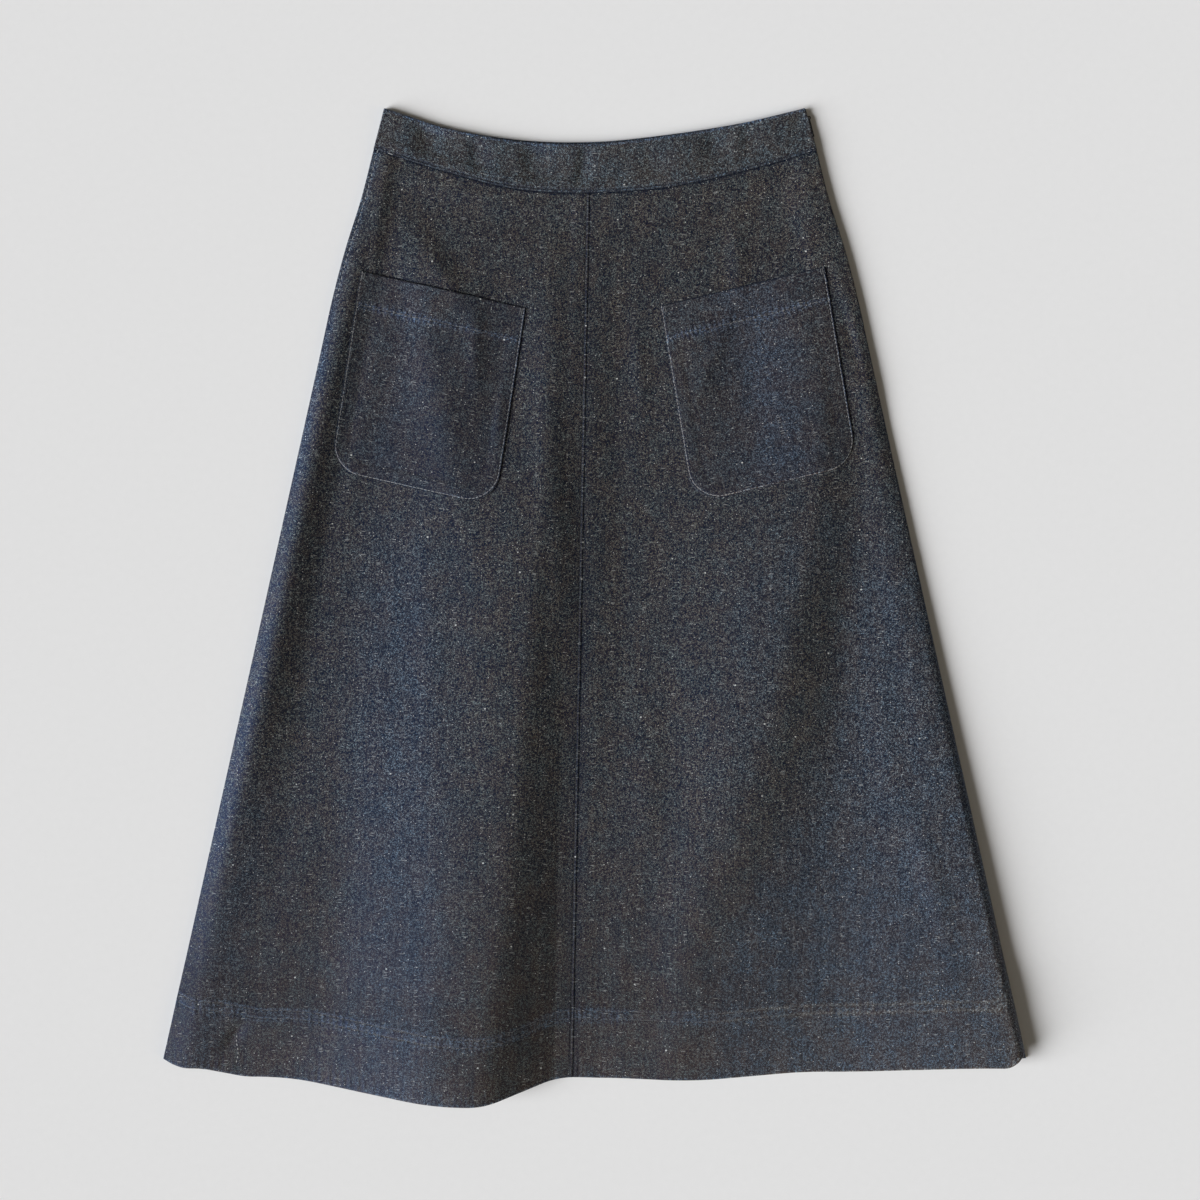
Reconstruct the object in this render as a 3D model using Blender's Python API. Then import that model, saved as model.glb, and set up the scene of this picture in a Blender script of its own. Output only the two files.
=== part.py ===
"""An A-line denim midi skirt, lying flat on its back.

Metres, +Z up.  +X is the viewer's right, +Y points to the waist, and the back
panel lies on the plane Z = 0.  "across" is a distance from the middle of the
skirt, "down" is a distance below the top corners of the waistband, and
"share" is a place between the middle (0) and a side edge (1).
"""

import math
from collections import namedtuple

import bmesh
import bpy
from mathutils import Vector

# ---------------------------------------------------------------- driving sizes

CLOTH = 0.0012            # one layer of denim
GAP = 0.0003              # between pieces that meet at a seam
LAY = 0.0005              # between a panel and the pocket that lies on it
LENGTH = 0.845            # top corners of the waistband to the lowest point of the hem

HEM_DEPTH = 0.054         # turned hem
BACK_HEM = 0.8228         # the back's hem in the middle, down
SEAM_ALLOWANCE = 0.010    # turned cloth inside the side, centre and waist seams
STEP = 0.0012             # length over which a turned layer ends
SOFTEN = 0.009            # length over which the cloth falls off a turned layer
WAIST_FALL = 0.025        # the same below the waistband, which is thicker
HEM_ROUND = 0.0008        # how far a folded hem bulges past its faces
EDGE_ROUND = 0.0004       # the same at the side seams and the top of the waistband
EDGE_ROW = 0.004          # points this far inside an edge keep it crisp

BACK_PEEK = 0.0018        # the back waistband stands this far above the front one
CENTRE_TOP = -0.0043      # centre-front seam at the waistband
CENTRE_SLANT = -0.0192    # how it runs, across for each metre down
CENTRE_START = 0.072      # where it starts, down

ZIP_END = 0.185           # lowest point of the side zip, down
ZIP_TOP = 0.0150          # its tapes start below the slider
ZIP_WIDTH = 0.0087        # the closed tapes, from the teeth inwards
ZIP_THICK = 0.0018        # the two tapes and the teeth
ZIP_INSET = 0.0008        # the teeth lie this far inside the side edge
ZIP_FADE = 0.045          # the room for the zip ends over this length

SLIDER_DOWN = 0.0095      # middle of the slider
SLIDER_LENGTH = 0.0080
SLIDER_DEPTH = 0.0053
SLIDER_THICK = 0.0021
SLIDER_BEVEL = 0.0003
SLIDER_INSET = 0.0002     # inside the side edge
AXIS_OUT = 0.00075        # pull's axis outside the side edge
LOOP_INNER = 0.0009       # the slider's loop, round the pull's bar
LOOP_OUTER = 0.0017
LOOP_WIDTH = 0.0009
LOOP_ROOT = 0.0012        # how deep its legs reach into the slider
PULL_LENGTH = 0.0165
PULL_WIDTH = 0.0033
PULL_THICK = 0.0009
PULL_BAR = 0.00045        # half of the bar that hangs in the loop
PULL_PLAY = 0.00022       # between the loop and each side of the pull's window
PULL_WINDOW_END = LOOP_OUTER + GAP

POCKET_WIDTH = 0.1430
POCKET_HEIGHT = 0.1700
POCKET_CORNER = 0.0270
POCKET_HEM = 0.0280
POCKET_SIDE_LEAN = 0.0115     # the side edge leans in by this at the bottom
POCKET_CENTRE_LEAN = 0.0118   # the centre edge leans out by this
POCKET_BORDER = 0.0095        # turned cloth round the sides and the bottom
POCKET_TURN = 0.0009          # what that turned cloth adds to the pocket's wall
POCKET_GAPE = 0.0018          # the mouth stands off the panel by this
POCKET_GAPE_DEPTH = 0.045     # it lies on the panel again at this distance below

DOUBLE = 2 * CLOTH
FRONT_INSIDE = CLOTH + GAP             # inner face of the front on the back
FRONT_FACE = FRONT_INSIDE + CLOTH      # its outer face
HEM_LIFT = DOUBLE + GAP                # the turned layers of both hems lie under it
WAIST_LIFT = 0.0022                    # and those of the waistband seam
ZIP_LIFT = ZIP_THICK + GAP
BAND_INSIDE = DOUBLE + GAP
BAND_FACE = BAND_INSIDE + DOUBLE

# ---------------------------------------------------------------- tables

# Side edges: half of the width at each distance down.
Edge = namedtuple("Edge", "down half_width")
SIDE_EDGE = (
    Edge(0.000, 0.1785),
    Edge(0.037, 0.1880),
    Edge(0.078, 0.1985),
    Edge(0.121, 0.2120),
    Edge(0.163, 0.2230),
    Edge(0.206, 0.2325),
    Edge(0.248, 0.2418),
    Edge(0.810, 0.3668),
)

# Waistband: its top and its seam, down, at each share (negative on the left).
Band = namedtuple("Band", "share top seam")
WAISTBAND = (
    Band(-1.00, 0.0009, 0.0355),
    Band(-0.66, 0.0189, 0.0545),
    Band(-0.33, 0.0293, 0.0695),
    Band(0.00, 0.0310, 0.0722),
    Band(0.33, 0.0246, 0.0672),
    Band(0.66, 0.0145, 0.0538),
    Band(1.00, 0.0009, 0.0368),
)

# Soft flutes of the front, from each side edge to the centre front: share and
# height of each crest and valley at these distances down, and the hem there.
FOLD_DOWN = (0.078, 0.223, 0.461, 0.673, 0.826)
FOLD_TURN = 0.3           # share of each flank over which the cloth turns into it
Fold = namedtuple("Fold", "name share height hem")
LEFT_FOLDS = (
    Fold("edge", (1, 1, 1, 1, 1), (0, 0, 0, 0, 0), 0.8075),
    Fold("side_crest", (0.930, 0.941, 0.941, 0.940, 0.930), (0.0010, 0.0042, 0.0064, 0.0048, 0.0040), 0.8148),
    Fold("valley", (0.835, 0.824, 0.814, 0.760, 0.780), (0, 0, 0, 0, 0), 0.8224),
    Fold("crest", (0.227, 0.190, 0.215, 0.245, 0.285), (0, 0.0060, 0.0110, 0.0155, 0.0200), 0.8450),
    Fold("centre", None, (0, 0.0020, 0.0020, 0.0016, 0.0008), 0.8230),
)
RIGHT_FOLDS = (
    Fold("edge", (1, 1, 1, 1, 1), (0, 0, 0, 0, 0), 0.8010),
    Fold("side_crest", (0.930, 0.965, 0.955, 0.945, 0.940), (0.0004, 0.0006, 0.0034, 0.0062, 0.0075), 0.8140),
    Fold("valley", (0.870, 0.925, 0.755, 0.594, 0.520), (0, 0, 0, 0, 0), 0.8186),
    Fold("crest", (0.780, 0.800, 0.545, 0.304, 0.200), (0, 0.0028, 0.0080, 0.0050, 0.0022), 0.8255),
    Fold("foot", (0.220, 0.100, 0.110, 0.080, 0.020), (0, 0, 0, 0, 0), 0.8236),
    Fold("centre", None, (0, 0.0020, 0.0020, 0.0016, 0.0008), 0.8230),
)

# The two halves of the front.
Half = namedtuple("Half", "name side folds")
LEFT = Half("front_left", -1, LEFT_FOLDS)
RIGHT = Half("front_right", 1, RIGHT_FOLDS)

# Patch pockets: the top corner nearer the side seam, and how far the mouth
# tips down towards the centre, in degrees.
Pocket = namedtuple("Pocket", "name half across down tilt")
POCKETS = (
    Pocket("pocket_left", LEFT, 0.1984, 0.1394, 12.7),
    Pocket("pocket_right", RIGHT, 0.1944, 0.1356, 13.4),
)

# Colour (linear), roughness and metallic of each finish.
Finish = namedtuple("Finish", "colour roughness metallic")
DENIM = Finish((0.040, 0.048, 0.072, 1.0), 0.9, 0.0)
DENIM_BAND = Finish((0.046, 0.055, 0.080, 1.0), 0.9, 0.0)
DENIM_POCKET = Finish((0.043, 0.051, 0.073, 1.0), 0.9, 0.0)
ZIP_TAPE = Finish((0.012, 0.014, 0.022, 1.0), 0.8, 0.0)
ZIP_METAL = Finish((0.060, 0.062, 0.070, 1.0), 0.35, 0.9)

# ---------------------------------------------------------------- curves

def smooth_curve(places, values, at):
    """Value at a place, on a smooth curve through the rows; level past its ends."""
    if at <= places[0]:
        return values[0]
    if at >= places[-1]:
        return values[-1]
    row = max(i for i in range(len(places) - 1) if places[i] <= at)

    def tangent(i):
        before = max(i - 1, 0)
        after = min(i + 1, len(places) - 1)
        return (values[after] - values[before]) / (places[after] - places[before])

    width = places[row + 1] - places[row]
    t = (at - places[row]) / width
    rise = values[row + 1] - values[row]
    start = tangent(row) * width
    end = tangent(row + 1) * width
    return (values[row] + start * t + (3 * rise - 2 * start - end) * t ** 2
            + (start + end - 2 * rise) * t ** 3)


def ramp(value, start, end):
    """0 before start and 1 after end, with a soft S between them."""
    t = min(max((value - start) / (end - start), 0.0), 1.0)
    return t * t * (3 - 2 * t)


def mix(a, b, t):
    return a + (b - a) * t


def half_width(down):
    """Distance of the side edges from the middle; straight below the hips."""
    last = SIDE_EDGE[-1]
    hip = SIDE_EDGE[-2]
    if down >= hip.down:
        slope = (last.half_width - hip.half_width) / (last.down - hip.down)
        return hip.half_width + slope * (down - hip.down)
    return smooth_curve([row.down for row in SIDE_EDGE], [row.half_width for row in SIDE_EDGE], down)


def band_line(column, share):
    """Top or seam of the waistband, down, at a signed share."""
    return smooth_curve([row.share for row in WAISTBAND], [getattr(row, column) for row in WAISTBAND], share)


def seam_down(x, down):
    """The waistband seam above a point, down."""
    return band_line("seam", x / half_width(down))


def centre_x(down):
    """X of the centre-front seam."""
    return CENTRE_TOP + CENTRE_SLANT * (down - CENTRE_START)


# ---------------------------------------------------------------- the front's surface

def fold_across(half, fold, down):
    """Distance of a crest or valley from the middle, on its own side."""
    if fold.share is None:
        return half.side * centre_x(down)
    return smooth_curve(FOLD_DOWN, fold.share, down) * half_width(down)


def between(index, t):
    """Eased place between two fold lines; the cloth rolls over at the side edge."""
    if index == 0:
        return math.sin(t * math.pi / 2)
    if t > 0.5:
        return 1 - between(index, 1 - t)
    steep = 1 / (1 - FOLD_TURN)
    return steep * (t ** 2 / (2 * FOLD_TURN) if t < FOLD_TURN else t - FOLD_TURN / 2)


def locate(half, across, down):
    """The fold interval that holds a point, and how far along it the point is."""
    lines = [fold_across(half, fold, down) for fold in half.folds]
    last = len(lines) - 2
    index = next((i for i in range(last) if across >= lines[i + 1]), last)
    t = (lines[index] - across) / (lines[index] - lines[index + 1])
    return index, min(max(t, 0.0), 1.0)


def hem_down(half, index, t):
    """The hem below a point of a fold interval."""
    return mix(half.folds[index].hem, half.folds[index + 1].hem, between(index, t))


def zip_share(half, down):
    """1 where the side edge holds the zip, 0 elsewhere."""
    if half.side < 0:
        return 0.0
    return 1 - ramp(down, ZIP_END + ZIP_FADE, ZIP_END + 2 * ZIP_FADE)


Reach = namedtuple("Reach", "edge centre hem waist")


def reach_of(half, across, down):
    """How far a point of the front is from each edge of its panel."""
    index, t = locate(half, across, down)
    return Reach(
        edge=half_width(down) - across,
        centre=across - half.side * centre_x(down),
        hem=hem_down(half, index, t) - down,
        waist=down - seam_down(half.side * across, down),
    )


def front_height(half, across, down):
    """Height of the front's outer face."""
    index, t = locate(half, across, down)
    heights = [smooth_curve(FOLD_DOWN, fold.height, down) for fold in half.folds[index:index + 2]]
    reach = reach_of(half, across, down)
    side_room = mix(CLOTH, ZIP_LIFT, zip_share(half, down))
    over_side = side_room * (1 - ramp(reach.edge, SEAM_ALLOWANCE + STEP, SEAM_ALLOWANCE + STEP + SOFTEN))
    over_waist = WAIST_LIFT * (1 - ramp(reach.waist, SEAM_ALLOWANCE + STEP, SEAM_ALLOWANCE + WAIST_FALL))
    lift = (over_side ** 4 + over_waist ** 4) ** 0.25
    lift += HEM_LIFT * (1 - ramp(reach.hem, HEM_DEPTH + STEP, HEM_DEPTH + STEP + 2 * SOFTEN))
    if half.side < 0:
        lift += CLOTH * (1 - ramp(reach.centre, SEAM_ALLOWANCE + STEP, SEAM_ALLOWANCE + STEP + SOFTEN))
    return FRONT_FACE + mix(heights[0], heights[1], between(index, t)) + lift


def turned(distance, depth):
    """1 where a turned layer lies under the cloth, 0 past its end."""
    return 1 - ramp(distance, depth + STEP * 0.1, depth + STEP * 0.9)


def front_wall(half, across, down):
    """Thickness of the front: two layers where cloth is turned in at a seam or the hem."""
    reach = reach_of(half, across, down)
    beside_zip = turned(reach.edge, SEAM_ALLOWANCE) * zip_share(half, down)
    at_side = turned(reach.edge, SEAM_ALLOWANCE) - beside_zip
    at_waist = turned(reach.waist, SEAM_ALLOWANCE) * (1 - beside_zip)
    layers = [at_side, at_waist, turned(reach.hem, HEM_DEPTH)]
    if half.side < 0:
        layers.append(turned(reach.centre, SEAM_ALLOWANCE))
    return CLOTH * (1 + max(layers))


def place(x, down, z):
    """A point of the skirt in the part's frame."""
    return Vector((x, LENGTH / 2 - down, z))


def front_point(half, across, down):
    """Point of the front's outer face."""
    return place(half.side * across, down, front_height(half, across, down))


def front_normal(half, across, down):
    """Outward normal of the front there, from its slopes."""
    nudge = 0.002
    inner = front_point(half, across - nudge, down)
    outer = front_point(half, across + nudge, down)
    above = front_point(half, across, down - nudge)
    below = front_point(half, across, down + nudge)
    normal = (outer - inner).cross(above - below)
    return normal.normalized() * half.side


# ---------------------------------------------------------------- mesh helpers

def add_object(name, mesh_builder, finish, sharp=50):
    """Close a bmesh into a named object with its own material."""
    mesh = bpy.data.meshes.new(name)
    bmesh.ops.recalc_face_normals(mesh_builder, faces=mesh_builder.faces)
    mesh_builder.to_mesh(mesh)
    mesh_builder.free()
    mesh.shade_smooth()
    mesh.set_sharp_from_angle(angle=math.radians(sharp))
    material = bpy.data.materials.new(name)
    material.use_nodes = True
    shader = material.node_tree.nodes["Principled BSDF"]
    shader.inputs["Base Color"].default_value = finish.colour
    shader.inputs["Roughness"].default_value = finish.roughness
    shader.inputs["Metallic"].default_value = finish.metallic
    mesh.materials.append(material)
    thing = bpy.data.objects.new(name, mesh)
    bpy.context.collection.objects.link(thing)
    return thing


def border(rows, columns):
    """Grid places round the edge of a sheet, in order."""
    ring = [(0, c) for c in range(columns)]
    ring += [(r, columns - 1) for r in range(1, rows)]
    ring += [(rows - 1, c) for c in range(columns - 2, -1, -1)]
    ring += [(r, 0) for r in range(rows - 2, 0, -1)]
    return ring


def sheet_solid(name, outer, inner, finish, fold_out=None):
    """A closed wall of cloth between two grids of points, rows by columns.

    fold_out gives the outward step of the wall's middle at a border place, for
    the round of a folded edge.
    """
    builder = bmesh.new()
    faces = [[[builder.verts.new(point) for point in row] for row in grid] for grid in (outer, inner)]
    rows = len(outer)
    columns = len(outer[0])
    for grid in faces:
        for r in range(rows - 1):
            for c in range(columns - 1):
                builder.faces.new((grid[r][c], grid[r + 1][c], grid[r + 1][c + 1], grid[r][c + 1]))
    ring = border(rows, columns)
    loops = [[faces[0][r][c] for r, c in ring], [faces[1][r][c] for r, c in ring]]
    if fold_out:
        middle = [builder.verts.new((outer[r][c] + inner[r][c]) / 2 + fold_out(r, c)) for r, c in ring]
        loops.insert(1, middle)
    for upper, lower in zip(loops, loops[1:]):
        for i in range(len(ring)):
            j = (i + 1) % len(ring)
            builder.faces.new((upper[i], upper[j], lower[j], lower[i]))
    return add_object(name, builder, finish)


def block(name, size, finish, bevel=0.0):
    """A box round the origin, with its edges bevelled."""
    builder = bmesh.new()
    bmesh.ops.create_cube(builder, size=1.0)
    bmesh.ops.scale(builder, vec=size, verts=builder.verts)
    if bevel:
        bmesh.ops.bevel(builder, geom=builder.edges[:], offset=bevel, segments=1, affect="EDGES", profile=0.5)
    return add_object(name, builder, finish, sharp=30)


def cut(thing, cutter, operation):
    """Boolean with a hidden helper object."""
    cutter.hide_render = True
    cutter.display_type = "WIRE"
    modifier = thing.modifiers.new(operation.title(), "BOOLEAN")
    modifier.operation = operation
    modifier.object = cutter


# ---------------------------------------------------------------- front panels

def panel_rows():
    """Rows of a front panel: (anchor, value), from the waistband seam to the hem."""
    middle_rows = 16
    rows = [("waist", inset) for inset in (GAP, SEAM_ALLOWANCE, SEAM_ALLOWANCE + STEP, 0.024)]
    rows += [("share", i / middle_rows) for i in range(middle_rows + 1)]
    rows += [("hem", inset) for inset in (HEM_DEPTH + STEP + 0.006, HEM_DEPTH + STEP, HEM_DEPTH,
                                          HEM_DEPTH / 2, EDGE_ROW, HEM_ROUND)]
    return rows


def panel_columns(half):
    """Columns of a front panel from the side edge to the centre: (line, inset) or (interval, t)."""
    columns = [("edge", inset) for inset in (0.0, EDGE_ROW, SEAM_ALLOWANCE, SEAM_ALLOWANCE + STEP)]
    columns += [("fold", 0, 1.0)]
    divisions = {1: 6, 2: 6, 3: 4} if half.side < 0 else {1: 3, 2: 6, 3: 5, 4: 2}
    for index, count in divisions.items():
        last = count + (0 if index == len(divisions) else 1)
        columns += [("fold", index, i / count) for i in range(1, last)]
    if half.side < 0:
        columns += [("centre", inset) for inset in (SEAM_ALLOWANCE + STEP, SEAM_ALLOWANCE, EDGE_ROW)]
    columns += [("centre", GAP / 2)]
    return columns


def column_across(half, column, down):
    """Distance from the middle of a panel's column at a height."""
    if column[0] == "edge":
        return half_width(down) - column[1]
    if column[0] == "centre":
        return half.side * centre_x(down) + column[1]
    lines = [fold_across(half, half.folds[i], down) for i in (column[1], column[1] + 1)]
    return mix(lines[0], lines[1], column[2])


def column_ends(half, column):
    """Waistband seam and hem that a panel's column runs between, down."""
    waist = CENTRE_START
    hem = LENGTH
    for _ in range(12):
        waist = seam_down(half.side * column_across(half, column, waist), waist)
        index, t = locate(half, column_across(half, column, hem), hem)
        hem = hem_down(half, index, t)
    return waist, hem


def panel_grid(half):
    """(across, down) of each point of a front panel, rows by columns."""
    columns = [(column, *column_ends(half, column)) for column in panel_columns(half)]
    grid = []
    for anchor, value in panel_rows():
        line = []
        for column, waist, hem in columns:
            if anchor == "waist":
                down = waist + value
            elif anchor == "hem":
                down = hem - value
            else:
                down = mix(waist + SEAM_ALLOWANCE + WAIST_FALL, hem - HEM_DEPTH - 2.4 * SOFTEN, value)
            line.append((column_across(half, column, down), down))
        grid.append(line)
    return grid


def front_panel(half):
    """One half of the front: a wall of cloth over its flutes, doubled at the seams and the hem."""
    grid = panel_grid(half)
    outer = [[front_point(half, across, down) for across, down in line] for line in grid]
    inner = []
    for line, points in zip(grid, outer):
        inner.append([point - front_normal(half, across, down) * front_wall(half, across, down)
                      for (across, down), point in zip(line, points)])
    last_row = len(grid) - 1

    def fold_out(r, c):
        step = Vector((0, 0, 0))
        if r == last_row:
            step.y = -HEM_ROUND
        if c == 0:
            step.x = half.side * EDGE_ROUND
        return step

    return sheet_solid(half.name, outer, inner, DENIM, fold_out)


# ---------------------------------------------------------------- back panel

def back_hem(share):
    """The back's hem: one even curve from side to side."""
    return mix(BACK_HEM, LEFT_FOLDS[0].hem, share ** 2)


def back_panel():
    """The back lies flat, with its hem turned up inside."""
    shares = [-1 + i / 8 for i in range(17)]
    rows = [("waist", GAP)] + [("share", i / 12) for i in range(1, 12)]
    rows += [("hem", inset) for inset in (HEM_DEPTH + STEP, HEM_DEPTH, EDGE_ROW, HEM_ROUND)]
    top = []
    bottom = []
    for anchor, value in rows:
        line = []
        for share in shares:
            waist = band_line("seam", share)
            hem = back_hem(share)
            if anchor == "waist":
                down = waist + value
            elif anchor == "hem":
                down = hem - value
            else:
                down = mix(waist, hem - HEM_DEPTH, value)
            line.append((share * (half_width(down) - GAP), down))
        doubled = anchor == "hem" and value <= HEM_DEPTH
        thick = DOUBLE if doubled else CLOTH
        top.append([place(x, down, thick) for x, down in line])
        bottom.append([place(x, down, 0.0) for x, down in line])
    last_row = len(rows) - 1

    def fold_out(r, c):
        return Vector((0, -HEM_ROUND if r == last_row else 0, 0))

    return sheet_solid("back", top, bottom, DENIM, fold_out)


# ---------------------------------------------------------------- waistband

def waistband(name, inside, face, room_up, peek):
    """Half of the waistband: two layers, but one beside the zip.

    room_up is True on the back band, whose upper face makes the room.
    """
    end = half_width(0.0)
    room = [1 - (SEAM_ALLOWANCE + STEP) / end, 1 - SEAM_ALLOWANCE / end]
    shares = [-1 + i / 14 for i in range(28)] + room + [1.0]
    lines = ("top", 0.0), ("top", EDGE_ROW / 2), ("middle", 0.5), ("seam", EDGE_ROW / 2), ("seam", 0.0)
    upper = []
    lower = []
    for anchor, value in lines:
        edge = EDGE_ROUND if anchor == "top" and value == 0.0 else 0.0
        upper_line = []
        lower_line = []
        for share in shares:
            top = band_line("top", share) - peek * (1 - share ** 2) ** 2
            seam = band_line("seam", share)
            down = {"top": top + value, "middle": mix(top, seam, value), "seam": seam - value}[anchor]
            x = share * half_width(down)
            beside_zip = share >= room[1]
            high = face - edge
            low = inside + (edge if inside > 0 else 0.0)
            if beside_zip and room_up:
                high = inside + CLOTH - edge
            elif beside_zip:
                low = face - CLOTH
            upper_line.append(place(x, down, high))
            lower_line.append(place(x, down, low))
        upper.append(upper_line)
        lower.append(lower_line)

    def fold_out(r, c):
        return Vector((0, EDGE_ROUND if r == 0 else 0, 0))

    return sheet_solid(name, upper, lower, DENIM_BAND, fold_out)


# ---------------------------------------------------------------- pockets

def pocket_sides(v):
    """Both edges of a pocket at a distance v below its mouth, in its own frame."""
    lean = v / POCKET_HEIGHT
    round_in = 0.0
    past = v - (POCKET_HEIGHT - POCKET_CORNER)
    if past > 0:
        round_in = POCKET_CORNER - math.sqrt(max(POCKET_CORNER ** 2 - past ** 2, 0.0))
    return (POCKET_SIDE_LEAN * lean + round_in,
            POCKET_WIDTH + POCKET_CENTRE_LEAN * lean - round_in)


def pocket_border_distance(u, v):
    """Distance of a point from the pocket's sewn edges."""
    straight = POCKET_HEIGHT - POCKET_CORNER
    side, centre = pocket_sides(min(v, straight))
    distances = [u - side, centre - u, POCKET_HEIGHT - v]
    if v > straight:
        past = v - straight
        if u < side + POCKET_CORNER:
            distances.append(POCKET_CORNER - math.hypot(side + POCKET_CORNER - u, past))
        if u > centre - POCKET_CORNER:
            distances.append(POCKET_CORNER - math.hypot(u - centre + POCKET_CORNER, past))
    return min(distances)


def pocket_place(pocket, u, v):
    """(across, down) of a point in a pocket's own frame."""
    tilt = math.radians(pocket.tilt)
    across = pocket.across - u * math.cos(tilt) + v * math.sin(tilt)
    down = pocket.down + u * math.sin(tilt) + v * math.cos(tilt)
    return across, down


def pocket_stand_off(u, v):
    """How far a pocket's inner face stands off the panel: the mouth gapes a little."""
    middle = math.sin(math.pi * min(max(u / POCKET_WIDTH, 0.0), 1.0))
    return LAY + POCKET_GAPE * middle ** 2 * (1 - ramp(v, 0.0, POCKET_GAPE_DEPTH))


def pocket_wall(u, v):
    """Thickness of a pocket: doubled at its hem and round its sewn edges."""
    border_layer = 1 - ramp(pocket_border_distance(u, v), POCKET_BORDER, POCKET_BORDER + 2 * STEP)
    hem_layer = 1 - ramp(v, POCKET_HEM, POCKET_HEM + 2 * STEP)
    return CLOTH + POCKET_TURN * max(border_layer, hem_layer)


def pocket_solid(pocket):
    """A patch pocket, made from the panel's points moved out."""
    border_end = (POCKET_BORDER + 2 * STEP) / POCKET_WIDTH
    columns = [0.0, 0.030, 0.068] + [mix(border_end, 1 - border_end, i / 9) for i in range(10)]
    columns += [0.932, 0.970, 1.0]
    straight = POCKET_HEIGHT - POCKET_CORNER
    rows = [0.0, 0.010, POCKET_HEM]
    rows += [mix(POCKET_HEM + 2 * STEP, straight, i / 6) for i in range(7)]
    rows += [straight + POCKET_CORNER * math.sin(math.radians(angle)) for angle in (22, 42, 60, 75, 90)]
    outer = []
    inner = []
    for v in rows:
        side, centre = pocket_sides(v)
        outer_line = []
        inner_line = []
        for column in columns:
            u = mix(side, centre, column)
            across, down = pocket_place(pocket, u, v)
            point = front_point(pocket.half, across, down)
            normal = front_normal(pocket.half, across, down)
            off = pocket_stand_off(u, v)
            outer_line.append(point + normal * (off + pocket_wall(u, v)))
            inner_line.append(point + normal * off)
        outer.append(outer_line)
        inner.append(inner_line)
    return sheet_solid(pocket.name, outer, inner, DENIM_POCKET)


# ---------------------------------------------------------------- side zip

def zip_tapes():
    """The closed tapes inside the right side seam, below the slider."""
    steps = 12
    top = []
    bottom = []
    for i in range(steps + 1):
        down = mix(ZIP_TOP, ZIP_END, i / steps)
        teeth = half_width(down) - ZIP_INSET
        top.append([place(x, down, FRONT_INSIDE + ZIP_THICK) for x in (teeth - ZIP_WIDTH, teeth)])
        bottom.append([place(x, down, FRONT_INSIDE) for x in (teeth - ZIP_WIDTH, teeth)])
    return sheet_solid("zip_tapes", top, bottom, ZIP_TAPE)


def zip_frame():
    """Point on the side edge beside the slider, the way along the edge, and the way out of it."""
    top = place(half_width(0.0), 0.0, BAND_FACE / 2)
    seam = place(half_width(SIDE_EDGE[1].down), SIDE_EDGE[1].down, BAND_FACE / 2)
    along = (seam - top).normalized()
    outward = Vector((-along.y, along.x, 0.0))
    return top + along * SLIDER_DOWN, along, outward


def turned_to_edge(thing, centre):
    """Place a piece made with X outward and Y up the edge."""
    _, along, _ = zip_frame()
    thing.location = centre
    thing.rotation_euler = (0.0, 0.0, math.atan2(-along.y, -along.x) - math.pi / 2)


def loop_profile():
    """Outline of the slider's loop: a half ring on two legs, round the pull's axis."""
    foot = -AXIS_OUT - LOOP_ROOT
    turns = [math.radians(90 - 180 * i / 8) for i in range(9)]
    outside = [(LOOP_OUTER * math.cos(a), LOOP_OUTER * math.sin(a)) for a in turns]
    inside = [(LOOP_INNER * math.cos(a), LOOP_INNER * math.sin(a)) for a in reversed(turns)]
    lower_leg = [(foot, -LOOP_OUTER), (foot, -LOOP_INNER)]
    return [(foot, LOOP_OUTER)] + outside + lower_leg + inside + [(foot, LOOP_INNER)]


def zip_slider():
    """The slider in the seam, with the loop that holds the pull."""
    edge, _, outward = zip_frame()
    size = (SLIDER_DEPTH, SLIDER_LENGTH, SLIDER_THICK)
    slider = block("zip_slider", size, ZIP_METAL, bevel=SLIDER_BEVEL)
    turned_to_edge(slider, edge - outward * (SLIDER_DEPTH / 2 + SLIDER_INSET))

    builder = bmesh.new()
    ring = [builder.verts.new((x, y, -LOOP_WIDTH / 2)) for x, y in loop_profile()]
    face = builder.faces.new(ring)
    raised = bmesh.ops.extrude_face_region(builder, geom=[face])["geom"]
    moved = [item for item in raised if isinstance(item, bmesh.types.BMVert)]
    bmesh.ops.translate(builder, vec=(0, 0, LOOP_WIDTH), verts=moved)
    loop = add_object("slider_loop_cutter", builder, ZIP_METAL, sharp=30)
    turned_to_edge(loop, edge + outward * AXIS_OUT)
    cut(slider, loop, "UNION")
    return slider


def zip_pull():
    """The pull tab: a flat drop on a bar, which hangs in the slider's loop."""
    edge, along, outward = zip_frame()
    # Share of the tab's width at distances below its bar.
    outline = ((-PULL_BAR, 0.78), (0.0, 0.84), (2 * PULL_WINDOW_END, 0.84), (0.36 * PULL_LENGTH, 0.62),
               (0.80 * PULL_LENGTH, 1.0), (0.95 * PULL_LENGTH, 0.86), (PULL_LENGTH, 0.45))
    front = []
    rear = []
    for below, share in outline:
        half = PULL_WIDTH / 2 * share
        places = (-half, -half * 0.5, half * 0.5, half)
        front.append([Vector((PULL_THICK / 2, -below, z)) for z in places])
        rear.append([Vector((-PULL_THICK / 2, -below, z)) for z in places])
    pull = sheet_solid("zip_pull", front, rear, ZIP_METAL)
    turned_to_edge(pull, edge + outward * AXIS_OUT)

    length = PULL_WINDOW_END - PULL_BAR
    window = block("pull_window_cutter", (3 * PULL_THICK, length, LOOP_WIDTH + 2 * PULL_PLAY), ZIP_METAL)
    turned_to_edge(window, edge + outward * AXIS_OUT + along * (PULL_BAR + length / 2))
    cut(pull, window, "DIFFERENCE")
    return pull


# ---------------------------------------------------------------- build

def clear_scene():
    for thing in list(bpy.data.objects):
        bpy.data.objects.remove(thing, do_unlink=True)


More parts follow.
